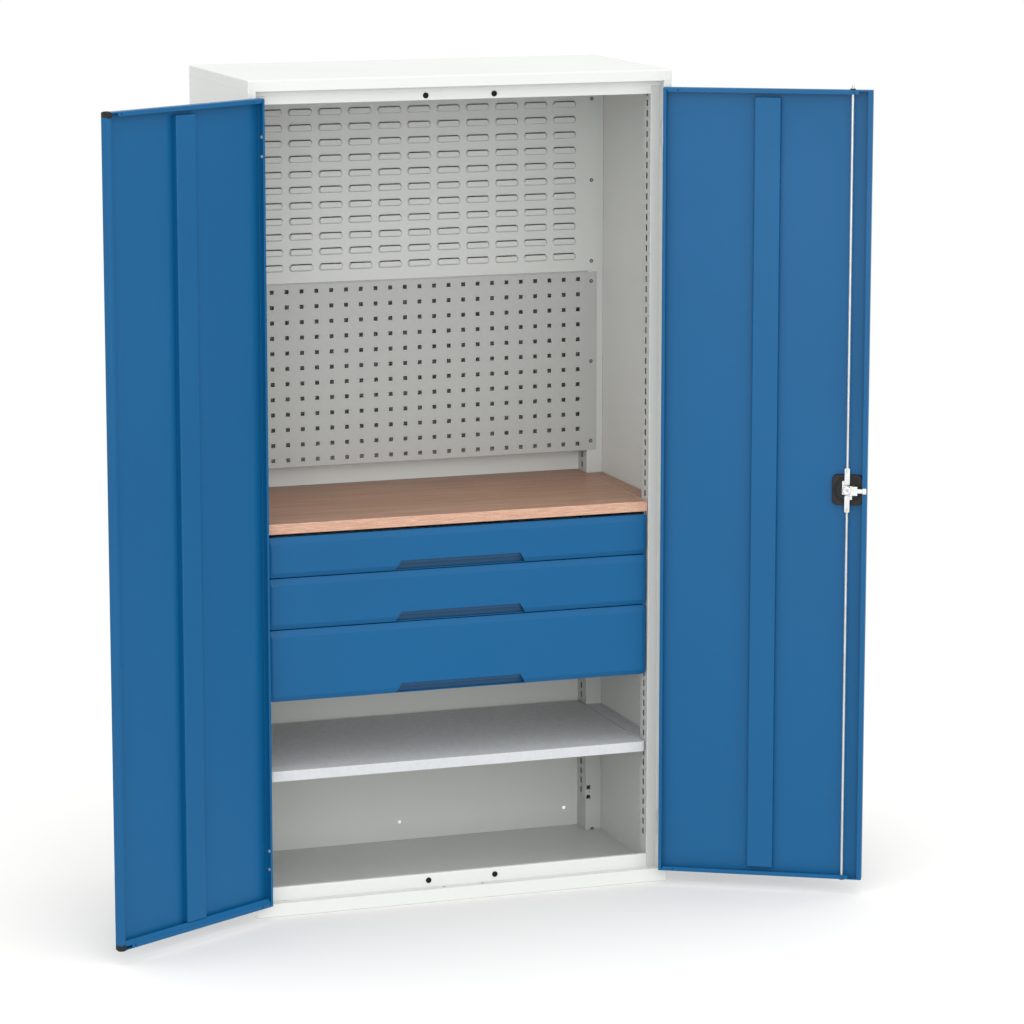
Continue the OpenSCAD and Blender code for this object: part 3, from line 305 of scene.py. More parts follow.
def settle(shape, facing):
    """Merges a part's doubles and makes its faces agree. They all turn round if area * normal summed along
    facing is negative, or where facing is None, area * normal . (middle of face - middle of part)."""
    mesh = bpy.data.meshes.new("part")
    faces = [face for block in shape.faces for face in block.tolist()]
    mesh.from_pydata((np.concatenate(shape.points) / 1000).tolist(), [], faces)
    part = bmesh.new()
    part.from_mesh(mesh)
    bmesh.ops.remove_doubles(part, verts=part.verts, dist=2e-6)
    bmesh.ops.dissolve_degenerate(part, edges=part.edges, dist=1e-7)
    bmesh.ops.recalc_face_normals(part, faces=part.faces)
    part.to_mesh(mesh)
    part.free()
    count = len(mesh.polygons)
    normal, middle, area = (np.zeros((count, size)) for size in (3, 3, 1))
    for name, values in (("normal", normal), ("center", middle), ("area", area)):
        mesh.polygons.foreach_get(name, values.ravel())
    way = middle - middle.mean(0) if facing is None else np.array(facing, float)
    if (area * normal * way).sum() < 0:
        mesh.flip_normals()
    return mesh


def smooth_edges(piece, width):
    """Rounds the sharp edges and lets the large flat faces rule the shading."""
    bevel = piece.modifiers.new("Rounded edges", "BEVEL")
    bevel.width, bevel.segments, bevel.limit_method = width, 2, "ANGLE"
    bevel.angle_limit = SHARP_ANGLE
    bevel.use_clamp_overlap = True
    weighted = piece.modifiers.new("Flat shading", "WEIGHTED_NORMAL")
    weighted.weight, weighted.keep_sharp = 100, False


def dress(name, body, slot, parts, place=STAY, stands_for=(), wall=0.0, edge=None, look=None):
    """One piece from parts of (shape, facing): meshes joined, moved to place, given a wall inwards, rounded
    along its edges, and set on its body with its finish. look names another finish than the slot's own."""
    whole = bmesh.new()
    for shape, facing in parts:
        mesh = settle(shape, facing)
        whole.from_mesh(mesh)
        bpy.data.meshes.remove(mesh)
    mesh = bpy.data.meshes.new(name)
    whole.to_mesh(mesh)
    whole.free()
    mesh.transform(place)
    if place.determinant() < 0:
        mesh.flip_normals()
    mesh.polygons.foreach_set("use_smooth", np.ones(len(mesh.polygons), bool))
    piece = bpy.data.objects.new(name, mesh)
    bpy.context.scene.collection.objects.link(piece)
    if wall:
        solid = piece.modifiers.new("Sheet thickness", "SOLIDIFY")
        solid.thickness, solid.offset = wall / 1000, -1
        solid.use_even_offset = True
    edge = bpy.context.scene.cabinet_sizes.edge if edge is None else edge
    if edge:
        smooth_edges(piece, edge)
    piece.data.materials.append(finish(look or slot))
    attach(piece, body)
    if stands_for:
        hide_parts(*stands_for)
    return piece


def body_sheet(name, parts, stands_for, place=STAY, wall=SHEET, **more):
    """A painted sheet of the body."""
    return dress(name, "carcass", "body_paint", parts, place, [stands_for], wall, **more)


def keep(names, edge=None):
    """CAD nodes whose shape is right: loose triangles joined, edges rounded and the finish put on."""
    for name in names:
        node = frame["nodes"][name]
        slot = next(part["material_slot"] for part in frame["record"]["subparts"] if part["node"] == name)
        weld = node.modifiers.new("Joined", "WELD")
        weld.merge_threshold = 2e-6
        smooth_edges(node, bpy.context.scene.cabinet_sizes.solid_edge if edge is None else edge)
        node.data.materials.clear()
        node.data.materials.append(finish(slot))


# ---- Finishes ----

WHITE = (1.0, 1.0, 1.0, 1.0)
OUTPUTS = {"Colour": WHITE, "Roughness": 0.5, "Height": 0.0}
REFLECTION = {"front_paint": 0.22, "rubber": 0.25}


def linear(shown, factor=1.0):
    """A screen colour as the shader's linear one, times a factor that makes it lighter or darker:
    ((c + 0.055) / 1.055) ** 2.4, or c / 12.92 where dark."""
    c = np.array(shown[:3], float)
    c = np.where(c <= 0.04045, c / 12.92, ((c + 0.055) / 1.055) ** 2.4)
    return (*np.minimum(c * factor, 1.0), 1.0)


def put(tree, socket, value):
    """Gives an input a value or joins it to an output."""
    if isinstance(value, bpy.types.NodeSocket):
        tree.links.new(value, socket)
    else:
        socket.default_value = value


def node(tree, kind, inputs=None, **attributes):
    """The outputs of a new shader node, whose attributes and inputs are set."""
    made = tree.nodes.new("ShaderNode" + kind)
    for name, value in attributes.items():
        setattr(made, name, value)
    for name, value in (inputs or {}).items():
        put(tree, made.inputs[name], value)
    return made.outputs


def effect(build, values):
    """The shader group of one effect, made once. build takes the tree and its inputs, and returns its outputs
    in order."""
    tree = bpy.data.node_groups.get(build.__name__)
    if tree is None:
        tree = bpy.data.node_groups.new(build.__name__, "ShaderNodeTree")
        for way, sockets in (("INPUT", values), ("OUTPUT", OUTPUTS)):
            for name, value in sockets.items():
                kind = "NodeSocketColor" if isinstance(value, tuple) else "NodeSocketFloat"
                tree.interface.new_socket(name, in_out=way, socket_type=kind)
        given = tree.nodes.new("NodeGroupInput").outputs
        out = tree.nodes.new("NodeGroupOutput")
        for name, value in zip(OUTPUTS, build(tree, *(given[name] for name in values))):
            tree.links.new(value, out.inputs[name])
    return tree


def mix(tree, factor, first, second):
    """One colour mixed into another."""
    return node(tree, "Mix", {0: factor, 6: first, 7: second}, data_type="RGBA")[2]


def ranged(tree, value, low, high, start=0.0, end=1.0):
    """A value carried from one range to another."""
    return node(tree, "MapRange", {0: value, 1: start, 2: end, 3: low, 4: high})[0]


def maths(tree, operation, first, second=0.0):
    """One sum of two values, or a function of the first."""
    return node(tree, "Math", {0: first, 1: second}, operation=operation)[0]


def place_of(tree, stretch=(1, 1, 1)):
    """Object coordinates, stretched."""
    where = node(tree, "TexCoord")["Object"]
    return node(tree, "Mapping", {"Vector": where, "Scale": stretch})[0]


def noise(tree, scale, detail, stretch=(1, 1, 1), **more):
    """Cloudy noise in object coordinates."""
    inputs = {"Vector": place_of(tree, stretch), "Scale": scale, "Detail": detail, **more}
    return node(tree, "TexNoise", inputs)[0]


def powder_coat(tree, base, shade, grain, dust):
    """Fine orange-peel texture, with a slow drift of tone and gloss."""
    fine = noise(tree, grain, 3.0, Roughness=0.6)
    slow = noise(tree, 2.3, 4.0)
    cells = node(tree, "TexVoronoi", {"Vector": place_of(tree), "Scale": 160.0})[0]
    specks = ranged(tree, cells, 1.0, 0.0, 0.0, 0.06)
    tone = mix(tree, ranged(tree, slow, 0.0, 0.55, 0.3, 0.7), base, shade)
    tone = mix(tree, maths(tree, "MULTIPLY", specks, dust), tone, WHITE)
    unevenness = maths(tree, "ADD", slow, maths(tree, "MULTIPLY", fine, 0.5))
    return tone, ranged(tree, unevenness, 0.30, 0.50, 0.4, 1.1), fine


def plating(tree, base, tint):
    """Zinc plating: faint warm and cool patches and fine drawing lines along the piece."""
    patch = noise(tree, 38.0, 3.0)
    line = noise(tree, 900.0, 2.0, (1, 1, 0.04))
    tone = mix(tree, ranged(tree, patch, 0.0, 1.0, 0.35, 0.65), base, tint)
    return tone, ranged(tree, line, 0.28, 0.46, 0.2, 0.8), line


def spangle(tree, base, shade):
    """Galvanising: crystals a few millimetres wide, each with its own tone and gloss and a bent outline."""
    wobble = node(tree, "TexNoise", {"Vector": place_of(tree), "Scale": 60.0, "Detail": 2.0})
    bent = node(tree, "Mix", {0: 0.006, 4: place_of(tree), 5: wobble["Color"]}, data_type="VECTOR")[1]
    crystal = node(tree, "TexVoronoi", {"Vector": bent, "Scale": 130.0}, distance="CHEBYCHEV")
    level = node(tree, "SeparateColor", {"Color": crystal["Color"]})[0]
    return mix(tree, level, base, shade), ranged(tree, level, 0.36, 0.48), level


def plywood(tree, light, dark, veneer):
    """Beech plywood: long grain with short dark flecks on the flat sides, and thin layers of grain along and
    across on the edges. A layer is the whole part of height / veneer, and odd layers are end grain."""
    where = node(tree, "TexCoord")
    height = node(tree, "SeparateXYZ", {"Vector": where["Object"]})[2]
    upright = node(tree, "SeparateXYZ", {"Vector": where["Normal"]})[2]
    flat = ranged(tree, maths(tree, "ABSOLUTE", upright), 0.0, 1.0, 0.6, 0.8)
    warp = noise(tree, 1.6, 3.0, (0.6, 3, 3))
    wave = noise(tree, 9.0, 5.0, (0.5, 11, 4), Roughness=0.62, Distortion=0.3)
    dash = ranged(tree, noise(tree, 700.0, 2.0, (0.12, 1, 1)), 0.0, 1.0, 0.60, 0.70)
    grain = maths(tree, "ADD", ranged(tree, wave, 0.55, 0.95, 0.3, 0.7), maths(tree, "MULTIPLY", dash, 0.4))
    # The flat sides are mixed far towards the dark colour, so they come out darker than the edges: partly the
    # veneer's grain, partly painted shade on the worktop's top.
    top = mix(tree, grain, light, dark)
    top = mix(tree, ranged(tree, warp, 0.0, 0.35, 0.4, 0.7), top, dark)

    layer = maths(tree, "DIVIDE", height, veneer)
    odd = maths(tree, "GREATER_THAN", maths(tree, "FRACT", maths(tree, "MULTIPLY", layer, 0.5)), 0.5)
    off_middle = maths(tree, "SUBTRACT", maths(tree, "FRACT", layer), 0.5)
    inside = maths(tree, "LESS_THAN", maths(tree, "ABSOLUTE", off_middle), 0.42)
    pores = noise(tree, 900.0, 1.0)
    fibre = noise(tree, 900.0, 3.0, (0.03, 0.5, 1), Roughness=0.7)
    long_grain = mix(tree, ranged(tree, fibre, 0.0, 0.8, 0.42, 0.62), light, dark)
    end_grain = mix(tree, ranged(tree, pores, 0.2, 0.7, 0.35, 0.65), light, dark)
    edge = mix(tree, odd, long_grain, end_grain)
    edge = mix(tree, ranged(tree, inside, 0.35, 0.0), edge, dark)
    relief = maths(tree, "ADD", maths(tree, "MULTIPLY", dash, 0.5), maths(tree, "MULTIPLY", pores, 0.3))
    return mix(tree, flat, edge, top), ranged(tree, grain, 0.38, 0.52), relief


def moulded(tree, base, paler, grain):
    """Moulded plastic or rubber: fine spark-eroded grain with a few paler scuffs."""
    relief = node(tree, "TexVoronoi", {"Vector": place_of(tree), "Scale": grain}, feature="SMOOTH_F1")[0]
    scuff = noise(tree, 45.0, 6.0, Roughness=0.7)
    tone = mix(tree, ranged(tree, scuff, 0.0, 0.25, 0.55, 0.75), base, paler)
    return tone, ranged(tree, scuff, 0.42, 0.62, 0.3, 0.7), relief


def recipes(colours, sizes):
    """What each finish is made of: effect, its inputs, metallic share and height of its texture in metres."""
    body, front, zinc, shelf = colours.body_paint, colours.front_paint, colours.zinc, colours.galvanised

    def coat(shown, tone, shade, dust):
        return (powder_coat, {"Colour": linear(shown, tone), "Shade": linear(shown, shade),
                              "Grain": 1 / max(sizes.coat_grain, 1e-4), "Dust": dust}, 0.0, 0.00006)

    def plated(tone, tint, metal, depth):
        return plating, {"Colour": tone, "Tint": tint}, metal, depth

    def cast(shown, scuff, grain, depth):
        return moulded, {"Colour": linear(shown), "Scuff": linear(shown, scuff), "Grain": grain}, 0.0, depth

    wood = {"Light": linear(colours.beech), "Dark": linear(colours.beech_grain), "Veneer": sizes.veneer}
    return {
        "body_paint": coat(body, 1.0, 0.965, 0.25),
        # Painted shade: the body's grey darkened for the louvred panel and the posts, standing in for the
        # shade inside the cabinet.
        "inner_painted_shade": coat(body, 0.82, 0.79, 0.2),
        # Painted shade: the body's grey darkened further for the perforated panel, standing in for the deeper
        # shade low in the cabinet.
        "perforated_painted_shade": coat(body, 0.61, 0.58, 0.2),
        "tray_paint": coat(body, 1.0, 0.95, 0.2),
        "front_paint": coat(front, 1.0, 0.90, 0.10),
        # Painted shade: the fronts' blue darkened for the wall behind the handle opening, standing in for the
        # shade in the recess.
        "pocket_painted_shade": coat(front, 0.60, 0.52, 0.05),
        "zinc": plated(linear(zinc), linear((0.79, 0.79, 0.76)), 0.7, 0.00002),
        "dark_zinc": plated(linear(zinc, 0.16), linear(zinc, 0.12), 0.5, 0.00002),
        "bright_steel": plated(linear(zinc), linear((0.80, 0.81, 0.84)), 1.0, 0.00001),
        "galvanised": (spangle, {"Colour": linear(shelf), "Shade": linear(shelf, 0.93)}, 0.1, 0.000006),
        "beech": (plywood, wood, 0.0, 0.00012),
        "black_plastic": cast(colours.plastic, 3.0, 1100.0, 0.00008),
        "rubber": cast(colours.rubber, 4.0, 700.0, 0.00010),
    }


def finish(slot):
    """The material of a slot, made the first time it is asked for."""
    made = bpy.data.materials.get("finish_" + slot)
    if made:
        return made
    scene = bpy.context.scene
    build, values, metal, depth = recipes(scene.cabinet_colours, scene.cabinet_sizes)[slot]
    made = bpy.data.materials.new("finish_" + slot)
    made.use_nodes = True
    tree = made.node_tree
    group = node(tree, "Group", values, node_tree=effect(build, values))
    bump = node(tree, "Bump", {"Height": group["Height"], "Distance": depth, "Strength": 1.0})
    wanted = {"Base Color": group["Colour"], "Roughness": group["Roughness"], "Normal": bump[0],
              "Metallic": metal, "Specular IOR Level": REFLECTION.get(slot, 0.4)}
    if slot == "beech":
        wanted["Coat Weight"] = 0.08
    for name, value in wanted.items():
        put(tree, tree.nodes["Principled BSDF"].inputs[name], value)
    return made


# ---- The body ----

class CABINET_OT_body(bpy.types.Operator):
    """Roof cap, base pan, side panels, back panel and rails, all of folded sheet"""
    bl_idname = "cabinet.body"
    bl_label = "Body"

    def execute(self, context):
        fold = context.scene.cabinet_sizes.fold * 1000
        bend = np.linspace(0, math.pi / 2, 6)
        roll, drop = fold * (1 - np.sin(bend)), fold * (1 - np.cos(bend))
        inside = (SHEET - HALF_W, HALF_W - SHEET)
        rod_holes = [circle((ROD_DEPTH - SHEET, x), ROD_HOLE, 20) for x in (-LOCK_X, LOCK_X)]

        def outlines(insets):
            """The body's plan at insets from the outside, with the corners' radius less the inset."""
            return [ring((i - HALF_W, HALF_W - i), (FRONT_Y + i, BACK_Y - i), max(CORNER - i, 0.2))
                    for i in insets]

        rings, fascia, top = outlines([*roll, 0.0]), 26.0, SIDE_HIGH[2] + SHEET
        cap = Shape().stacked(rings, [*(TOP_Z - drop), TOP_Z - fascia], plan).lid([rings[0]], TOP_Z, plan)
        ledge = Shape().folded([(FRONT_Y + SHEET, top), (FACE_Y, top), (FACE_Y, CAP_LOW[2])], BEND,
                               (20 - HALF_W, HALF_W - 20), section, {0: rod_holes}, {0: inside})
        body_sheet("cap_shell", [(cap, None), (ledge, (0, 0, 1))], "roof_cap")

        flange = 15.0
        pan = Shape().stacked(outlines([flange, *roll, 0.0]), [0.0, *drop, PAN_TOP], plan)
        tray = Shape().folded([(FRONT_Y + SHEET, PAN_TOP), (FACE_Y, PAN_TOP), (FACE_Y, FLOOR_Z),
                               (BACK_Y - SHEET, FLOOR_Z)], TIGHT_BEND, inside, section, {0: rod_holes})
        body_sheet("base_shell", [(pan, None), (tray, (0, 0, 1))], "base_pan")

        lip = SIDE_LOW[0]
        side = [(lip, FACE_Y), (lip, FRONT_Y), (HALF_W, FRONT_Y), (HALF_W, BACK_Y), (lip, BACK_Y)]
        for name, place in SIDES:
            sheet = Shape().folded(side, fold, (SIDE_LOW[2], SIDE_HIGH[2]), plan)
            body_sheet(name + "_side_sheet", [(sheet, (1, 0, 0))], name + "_side_panel", place)

        spots = [(x, z) for x in (80 - HALF_W, 0, HALF_W - 80) for z in (65.0, TOP_Z - 65)]
        outline = [rectangle(inside, (FLOOR_Z, TOP_Z - SHEET))] + [circle(spot, 4.5, 20) for spot in spots]
        back = Shape().lid(outline, BACK_Y - SHEET, elevation)
        body_sheet("back_sheet", [(back, (0, 1, 0))], "back_panel")

        for name, free, bent in (("top_rail", 1, 0), ("bottom_rail", 0, 1)):
            z, shelf = [corner[2] for corner in limits(name)], FACE_Y + 12
            rail = Shape().folded([(FACE_Y, z[free]), (FACE_Y, z[bent]), (shelf, z[bent])], BEND,
                                  (-POST_X, POST_X), section)
            body_sheet(name + "_sheet", [(rail, (0, -1, 0.2 * (bent - free)))], name)
        keep(["base_cross_member"])
        return {"FINISHED"}


class CABINET_OT_posts(bpy.types.Operator):
    """Folded posts with their rows of hanging slots"""
    bl_idname = "cabinet.posts"
    bl_label = "Slotted posts"

    def execute(self, context):
        height = (FLOOR_Z, FRONT_POST_HIGH[2])
        levels = np.arange(FIRST_SLOT, TOP_Z - 28, SLOT_PITCH)
        slot = ring((-5.4, 5.4), (-7.4, 7.4), 1.6, 2)

        def slots(distance):
            """Slots at one distance along the run and every level."""
            return list(slot + np.stack([np.full_like(levels, distance), levels], 1)[:, None])

        wall, end = HALF_W - 2, FRONT_POST_HIGH[1]
        pips = [circle((7.5, z), 2, 10) for z in (levels + SLOT_PITCH / 2)[:-1]]
        front = Shape().folded([(wall, FACE_Y), (POST_X, FACE_Y), (POST_X, end), (HALF_W - 4, end)], BEND,
                               height, plan, {1: slots(25.0) + pips})

        run, start, end = wall - POST_X, REAR_POST_LOW[1], REAR_POST_HIGH[1]
        keys = [rectangle((run - 12.5, run - 2.5), (z - 5, z + 5))
                for z in (FIRST_SLOT - SLOT_PITCH / 2, FIRST_SLOT + SLOT_PITCH / 2)]
        pin = circle((run - 10, FIRST_SLOT), 1.5, 10)
        foot = circle((run - 18, FLOOR_Z), 5.5, 16)[:9]
        rear = Shape().folded([(wall, start), (POST_X, start), (POST_X, end), (REAR_POST_HIGH[0], end)], BEND,
                              height, plan, {0: keys + [pin, foot], 1: slots(35.0)})
        for side, place in SIDES:
            for name, shape in ((side + "_front_post", front), (side + "_rear_post", rear)):
                # The posts get the darker grey of painted shade.
                body_sheet(name + "_sheet", [(shape, (-1, 0, 0))], name, place, POST_SHEET,
                           look="inner_painted_shade")
        return {"FINISHED"}


class CABINET_OT_back_panels(bpy.types.Operator):
    """Louvred and perforated panels with their screws"""
    bl_idname = "cabinet.back_panels"
    bl_label = "Back panels"

    def execute(self, context):
        self.louvres()
        self.squares()
        self.screws()
        return {"FINISHED"}

    def panel(self, low, high, front, holes):
        """A sheet on the posts' fronts, folded back above and below where it passes between them."""
        half, between = 506.5, (1.5 - POST_X, POST_X - 1.5)
        profile = [(high[1], low[2]), (front, low[2]), (front, high[2]), (high[1], high[2])]
        return Shape().folded(profile, TIGHT_BEND, (-half, half), section, {1: list(holes)},
                              {0: between, 2: between})

    def louvres(self):
        low, high = limits("louvre_panel")
        front = low[1] + 6.0
        across = HOLE_PITCH * np.array([s * (2 * c + 1) for c in range(6) for s in (-1, 1)], float)
        up = (low[2] + high[2]) / 2 + HOLE_PITCH * np.arange(-5, 6)
        centres = np.stack(np.meshgrid(across, up, indexing="ij"), -1).reshape(-1, 2)
        hood, mouth = self.hood()
        spots = np.stack([centres[:, 0], np.full(len(centres), front), centres[:, 1]], 1)[:, None, None]
        panel = self.panel(low, high, front, (mouth + centres[:, None] - [0, low[2]])[..., ::-1])
        panel.grid(hood + spots)
        side = hood.shape[1] // 2
        panel.grid(np.stack([hood[-1, :side], hood[-1, :side - 1:-1]]) + spots)
        # The louvred panel gets the darker grey of painted shade.
        body_sheet("louvre_sheet", [(panel, (0, -1, 0))], "louvre_panel", edge=0.0002, look="inner_painted_shade")

    def hood(self):
        """A louvre pressed out to the front and open at its top: U-shaped outlines with chamfered upper and
        round lower corners, inset while they rise, and the outline of the slightly higher hole behind."""
        wide, tall, out, corner, lip = 31.0, 18.5, 6.0, 7.0, 2.3
        top = tall / 2 - lip
        angle = np.linspace(0, -math.pi / 2, 5)
        rows = []
        for inset, rise in ((0.0, 0.0), (0.9, 0.45), (1.8, 2.0), (2.8, 4.2), (4.0, 5.6), (5.6, out)):
            arc = np.array([wide - corner, corner - tall / 2]) + (corner - inset) * np.stack(
                [np.cos(angle), np.sin(angle)], -1)
            right = np.concatenate([[[wide - 5 - 0.6 * inset, top], [wide - inset, top - 5]], arc])
            both = np.concatenate([right, right[::-1] * [-1, 1]])
            rows.append(elevation(both[:, 0], both[:, 1], -rise))
        mouth = rows[0][:, [0, 2]].copy()
        mouth[[0, -1], 1] = tall / 2
        return np.stack(rows), mouth

    def squares(self):
        low, high = limits("perforated_panel")
        rows = (np.arange(round((high[2] - low[2]) / HOLE_PITCH)) + 0.5) * HOLE_PITCH
        columns = np.arange(-12, 13) * HOLE_PITCH
        centres = np.stack(np.meshgrid(rows, columns, indexing="ij"), -1).reshape(-1, 1, 2)
        panel = self.panel(low, high, low[1], centres + rectangle((-5, 5), (-5, 5)))
        # The perforated panel gets the darkest grey, which is painted shade.
        body_sheet("perforated_sheet", [(panel, (0, -1, 0))], "perforated_panel", look="perforated_painted_shade")

    def screws(self):
        places = []
        for name in ("louvre_panel", "perforated_panel"):
            low, high = limits(name)
            for z in (low[2] + 25, (low[2] + high[2]) / 2, high[2] - 25):
                places += [(s * (POST_X + 9.5), REAR_POST_LOW[1] - SHEET, z) for s in (-1, 1)]

        def socket(angle):
            """Round outside and six-sided inside: a side lies at 1 / cos of the angle to its middle."""
            six = 1 / np.cos((angle % (math.pi / 3)) - math.pi / 6)
            return np.stack([six] * 3 + [np.ones_like(angle)] * 6)

        head = [(0.01, 2.0), (2.2, 2.0), (2.2, -2.3), (2.6, -2.5), (3.4, -2.25), (4.1, -1.7), (4.5, -0.8),
                (4.5, 0.0), (2.4, 0.0)]
        screws = Shape().turned(head, places, side=socket)
        dress("panel_screw_heads", "carcass", "zinc", [(screws, (0, -1, 0))], stands_for=["panel_screws"],
              edge=0, look="dark_zinc")


class CABINET_OT_buffers(bpy.types.Operator):
    """Four hollow rubber stops on the rails"""
    bl_idname = "cabinet.buffers"
    bl_label = "Door stops"

    def execute(self, context):
        low, high = limits("door_buffers")
        places = [(x, FACE_Y, z) for x in (-85, 85) for z in (low[2] + 7, high[2] - 7)]
        dome = [(0.01, -1.0), (2.7, -1.0), (2.9, -2.4), (3.3, -3.2), (4.0, -3.5), (5.0, -3.3), (5.8, -2.7),
                (6.3, -1.9), (6.9, -1.3), (7.0, 0.0), (0.01, 0.0)]
        stops = Shape().turned(dome, places, steps=32)
        dress("rubber_stops", "carcass", "rubber", [(stops, None)], stands_for=["door_buffers"], edge=0)
        head = [(0.01, -1.6), (0.7, -1.6), (0.8, -2.0), (1.6, -1.9), (2.3, -1.4), (2.5, -0.9)]
        rivets = Shape().turned(head, places, steps=20)
        dress("stop_rivets", "carcass", "black_plastic", [(rivets, (0, -1, 0))], edge=0)
        return {"FINISHED"}


class CABINET_OT_fittings(bpy.types.Operator):
    """Worktop, drawer housing, runners, shelf and its supports"""
    bl_idname = "cabinet.fittings"
    bl_label = "Worktop, housing and shelf"

    def execute(self, context):
        keep(["worktop"], context.scene.cabinet_sizes.wood_edge)
        keep(["shelf"], 0.0005)
        keep(["left_drawer_housing", "right_drawer_housing", "drawer_housing_floor", "fixed_runner_rails",
              "left_shelf_support", "right_shelf_support"])
        for drawer in DRAWERS:
            keep([drawer + "_drawer_tray", drawer + "_runner_sliders", drawer + "_runner_members"], 0.0003)
        return {"FINISHED"}


class CABINET_OT_drawer_fronts(bpy.types.Operator):
    """Drawer fronts with bevels above and below, rounded ends and a handle opening"""
    bl_idname = "cabinet.drawer_fronts"
    bl_label = "Drawer fronts"

    def execute(self, context):
        for drawer in DRAWERS:
            low, high = limits(drawer + "_drawer_front")
            self.front(drawer, low, high)
            self.pocket(drawer, low[2])
        return {"FINISHED"}

    def front(self, drawer, low, high):
        """Outlines stacked from the back edge to the face. Up to 6 deep the upper and lower insets follow a
        straight bevel, with close outlines where it starts and ends so that its edges stay crisp. At depth d
        the ends' inset is close to an ellipse's, 12 * (1 - sqrt(1 - 0.99 * ((9 - d) / 9) ** 2)). The last
        outline lies in the face, and all are open below at the handle."""
        x, z = (low[0], high[0]), (low[2], high[2])
        depth = np.array([18.0, 9.0, 7.2, 6.1, 5.4, 4.2, 3.0, 1.8, 0.6, 0.0, 0.0])
        slope = np.array([0.0, 0.0, 0.0, 0.01, 0.10, 0.30, 0.50, 0.70, 0.90, 1.0, 1.1])
        ends = 12 * (1 - np.sqrt(1 - np.clip((9 - depth) / 9, 0, 1) ** 2 * 0.99))
        ends[-1] += 1.5
        upper, lower = 15 * slope, 12 * slope
        opening_top = 24

        def opening(height):
            """Half the width of the handle opening, which narrows upwards."""
            return 165 - 14.5 * height / opening_top

        rings = []
        for end, over, under, part in zip(ends, upper, lower, slope):
            outline = ring((x[0] + end, x[1] - end), (z[0] + under, z[1] - over), 8 - 2 * part, 5)
            cut = len(outline) // 4 * 3
            gap = opening(under)
            rings.append(np.concatenate([[[gap, z[0] + under]], outline[cut:], outline[:cut],
                                         [[-gap, z[0] + under]]]))
        shell = Shape().stacked(rings, FACE_Y + depth, elevation, open_seam=True)
        half, peak = opening(opening_top), z[0] + opening_top
        arch = np.array([[-half - 1, peak - 1], [-half, peak], [half, peak], [half + 1, peak - 1]])
        shell.lid([np.concatenate([rings[-1], arch])], FACE_Y, elevation)
        base = np.array([[outline[-1], outline[0]] for outline in rings[:4]])
        shell.grid(elevation(base[..., 0], base[..., 1], FACE_Y + depth[:4, None]))
        dress(drawer + "_front_shell", drawer + "_drawer", "front_paint", [(shell, (0, -1, 0))],
              stands_for=[drawer + "_drawer_front"], wall=SHEET)

    def pocket(self, drawer, bottom):
        """The wall behind the handle opening, which steps back below so that fingers fit."""
        near, middle, far = FACE_Y + SHEET, FACE_Y + 8, FACE_Y + 16
        top, step = bottom + 36, bottom + 14
        profile = [(near, top), (middle, top), (middle, step), (far, step), (far, bottom + 0.8)]
        wall = Shape().folded(profile, 1.6, (-175, 175), section)
        # The pocket's blue is painted darker, as painted shade in the recess.
        dress(drawer + "_grip_pocket", drawer + "_drawer", "front_paint", [(wall, (0, -1, 0))], wall=SHEET,
              look="pocket_painted_shade")


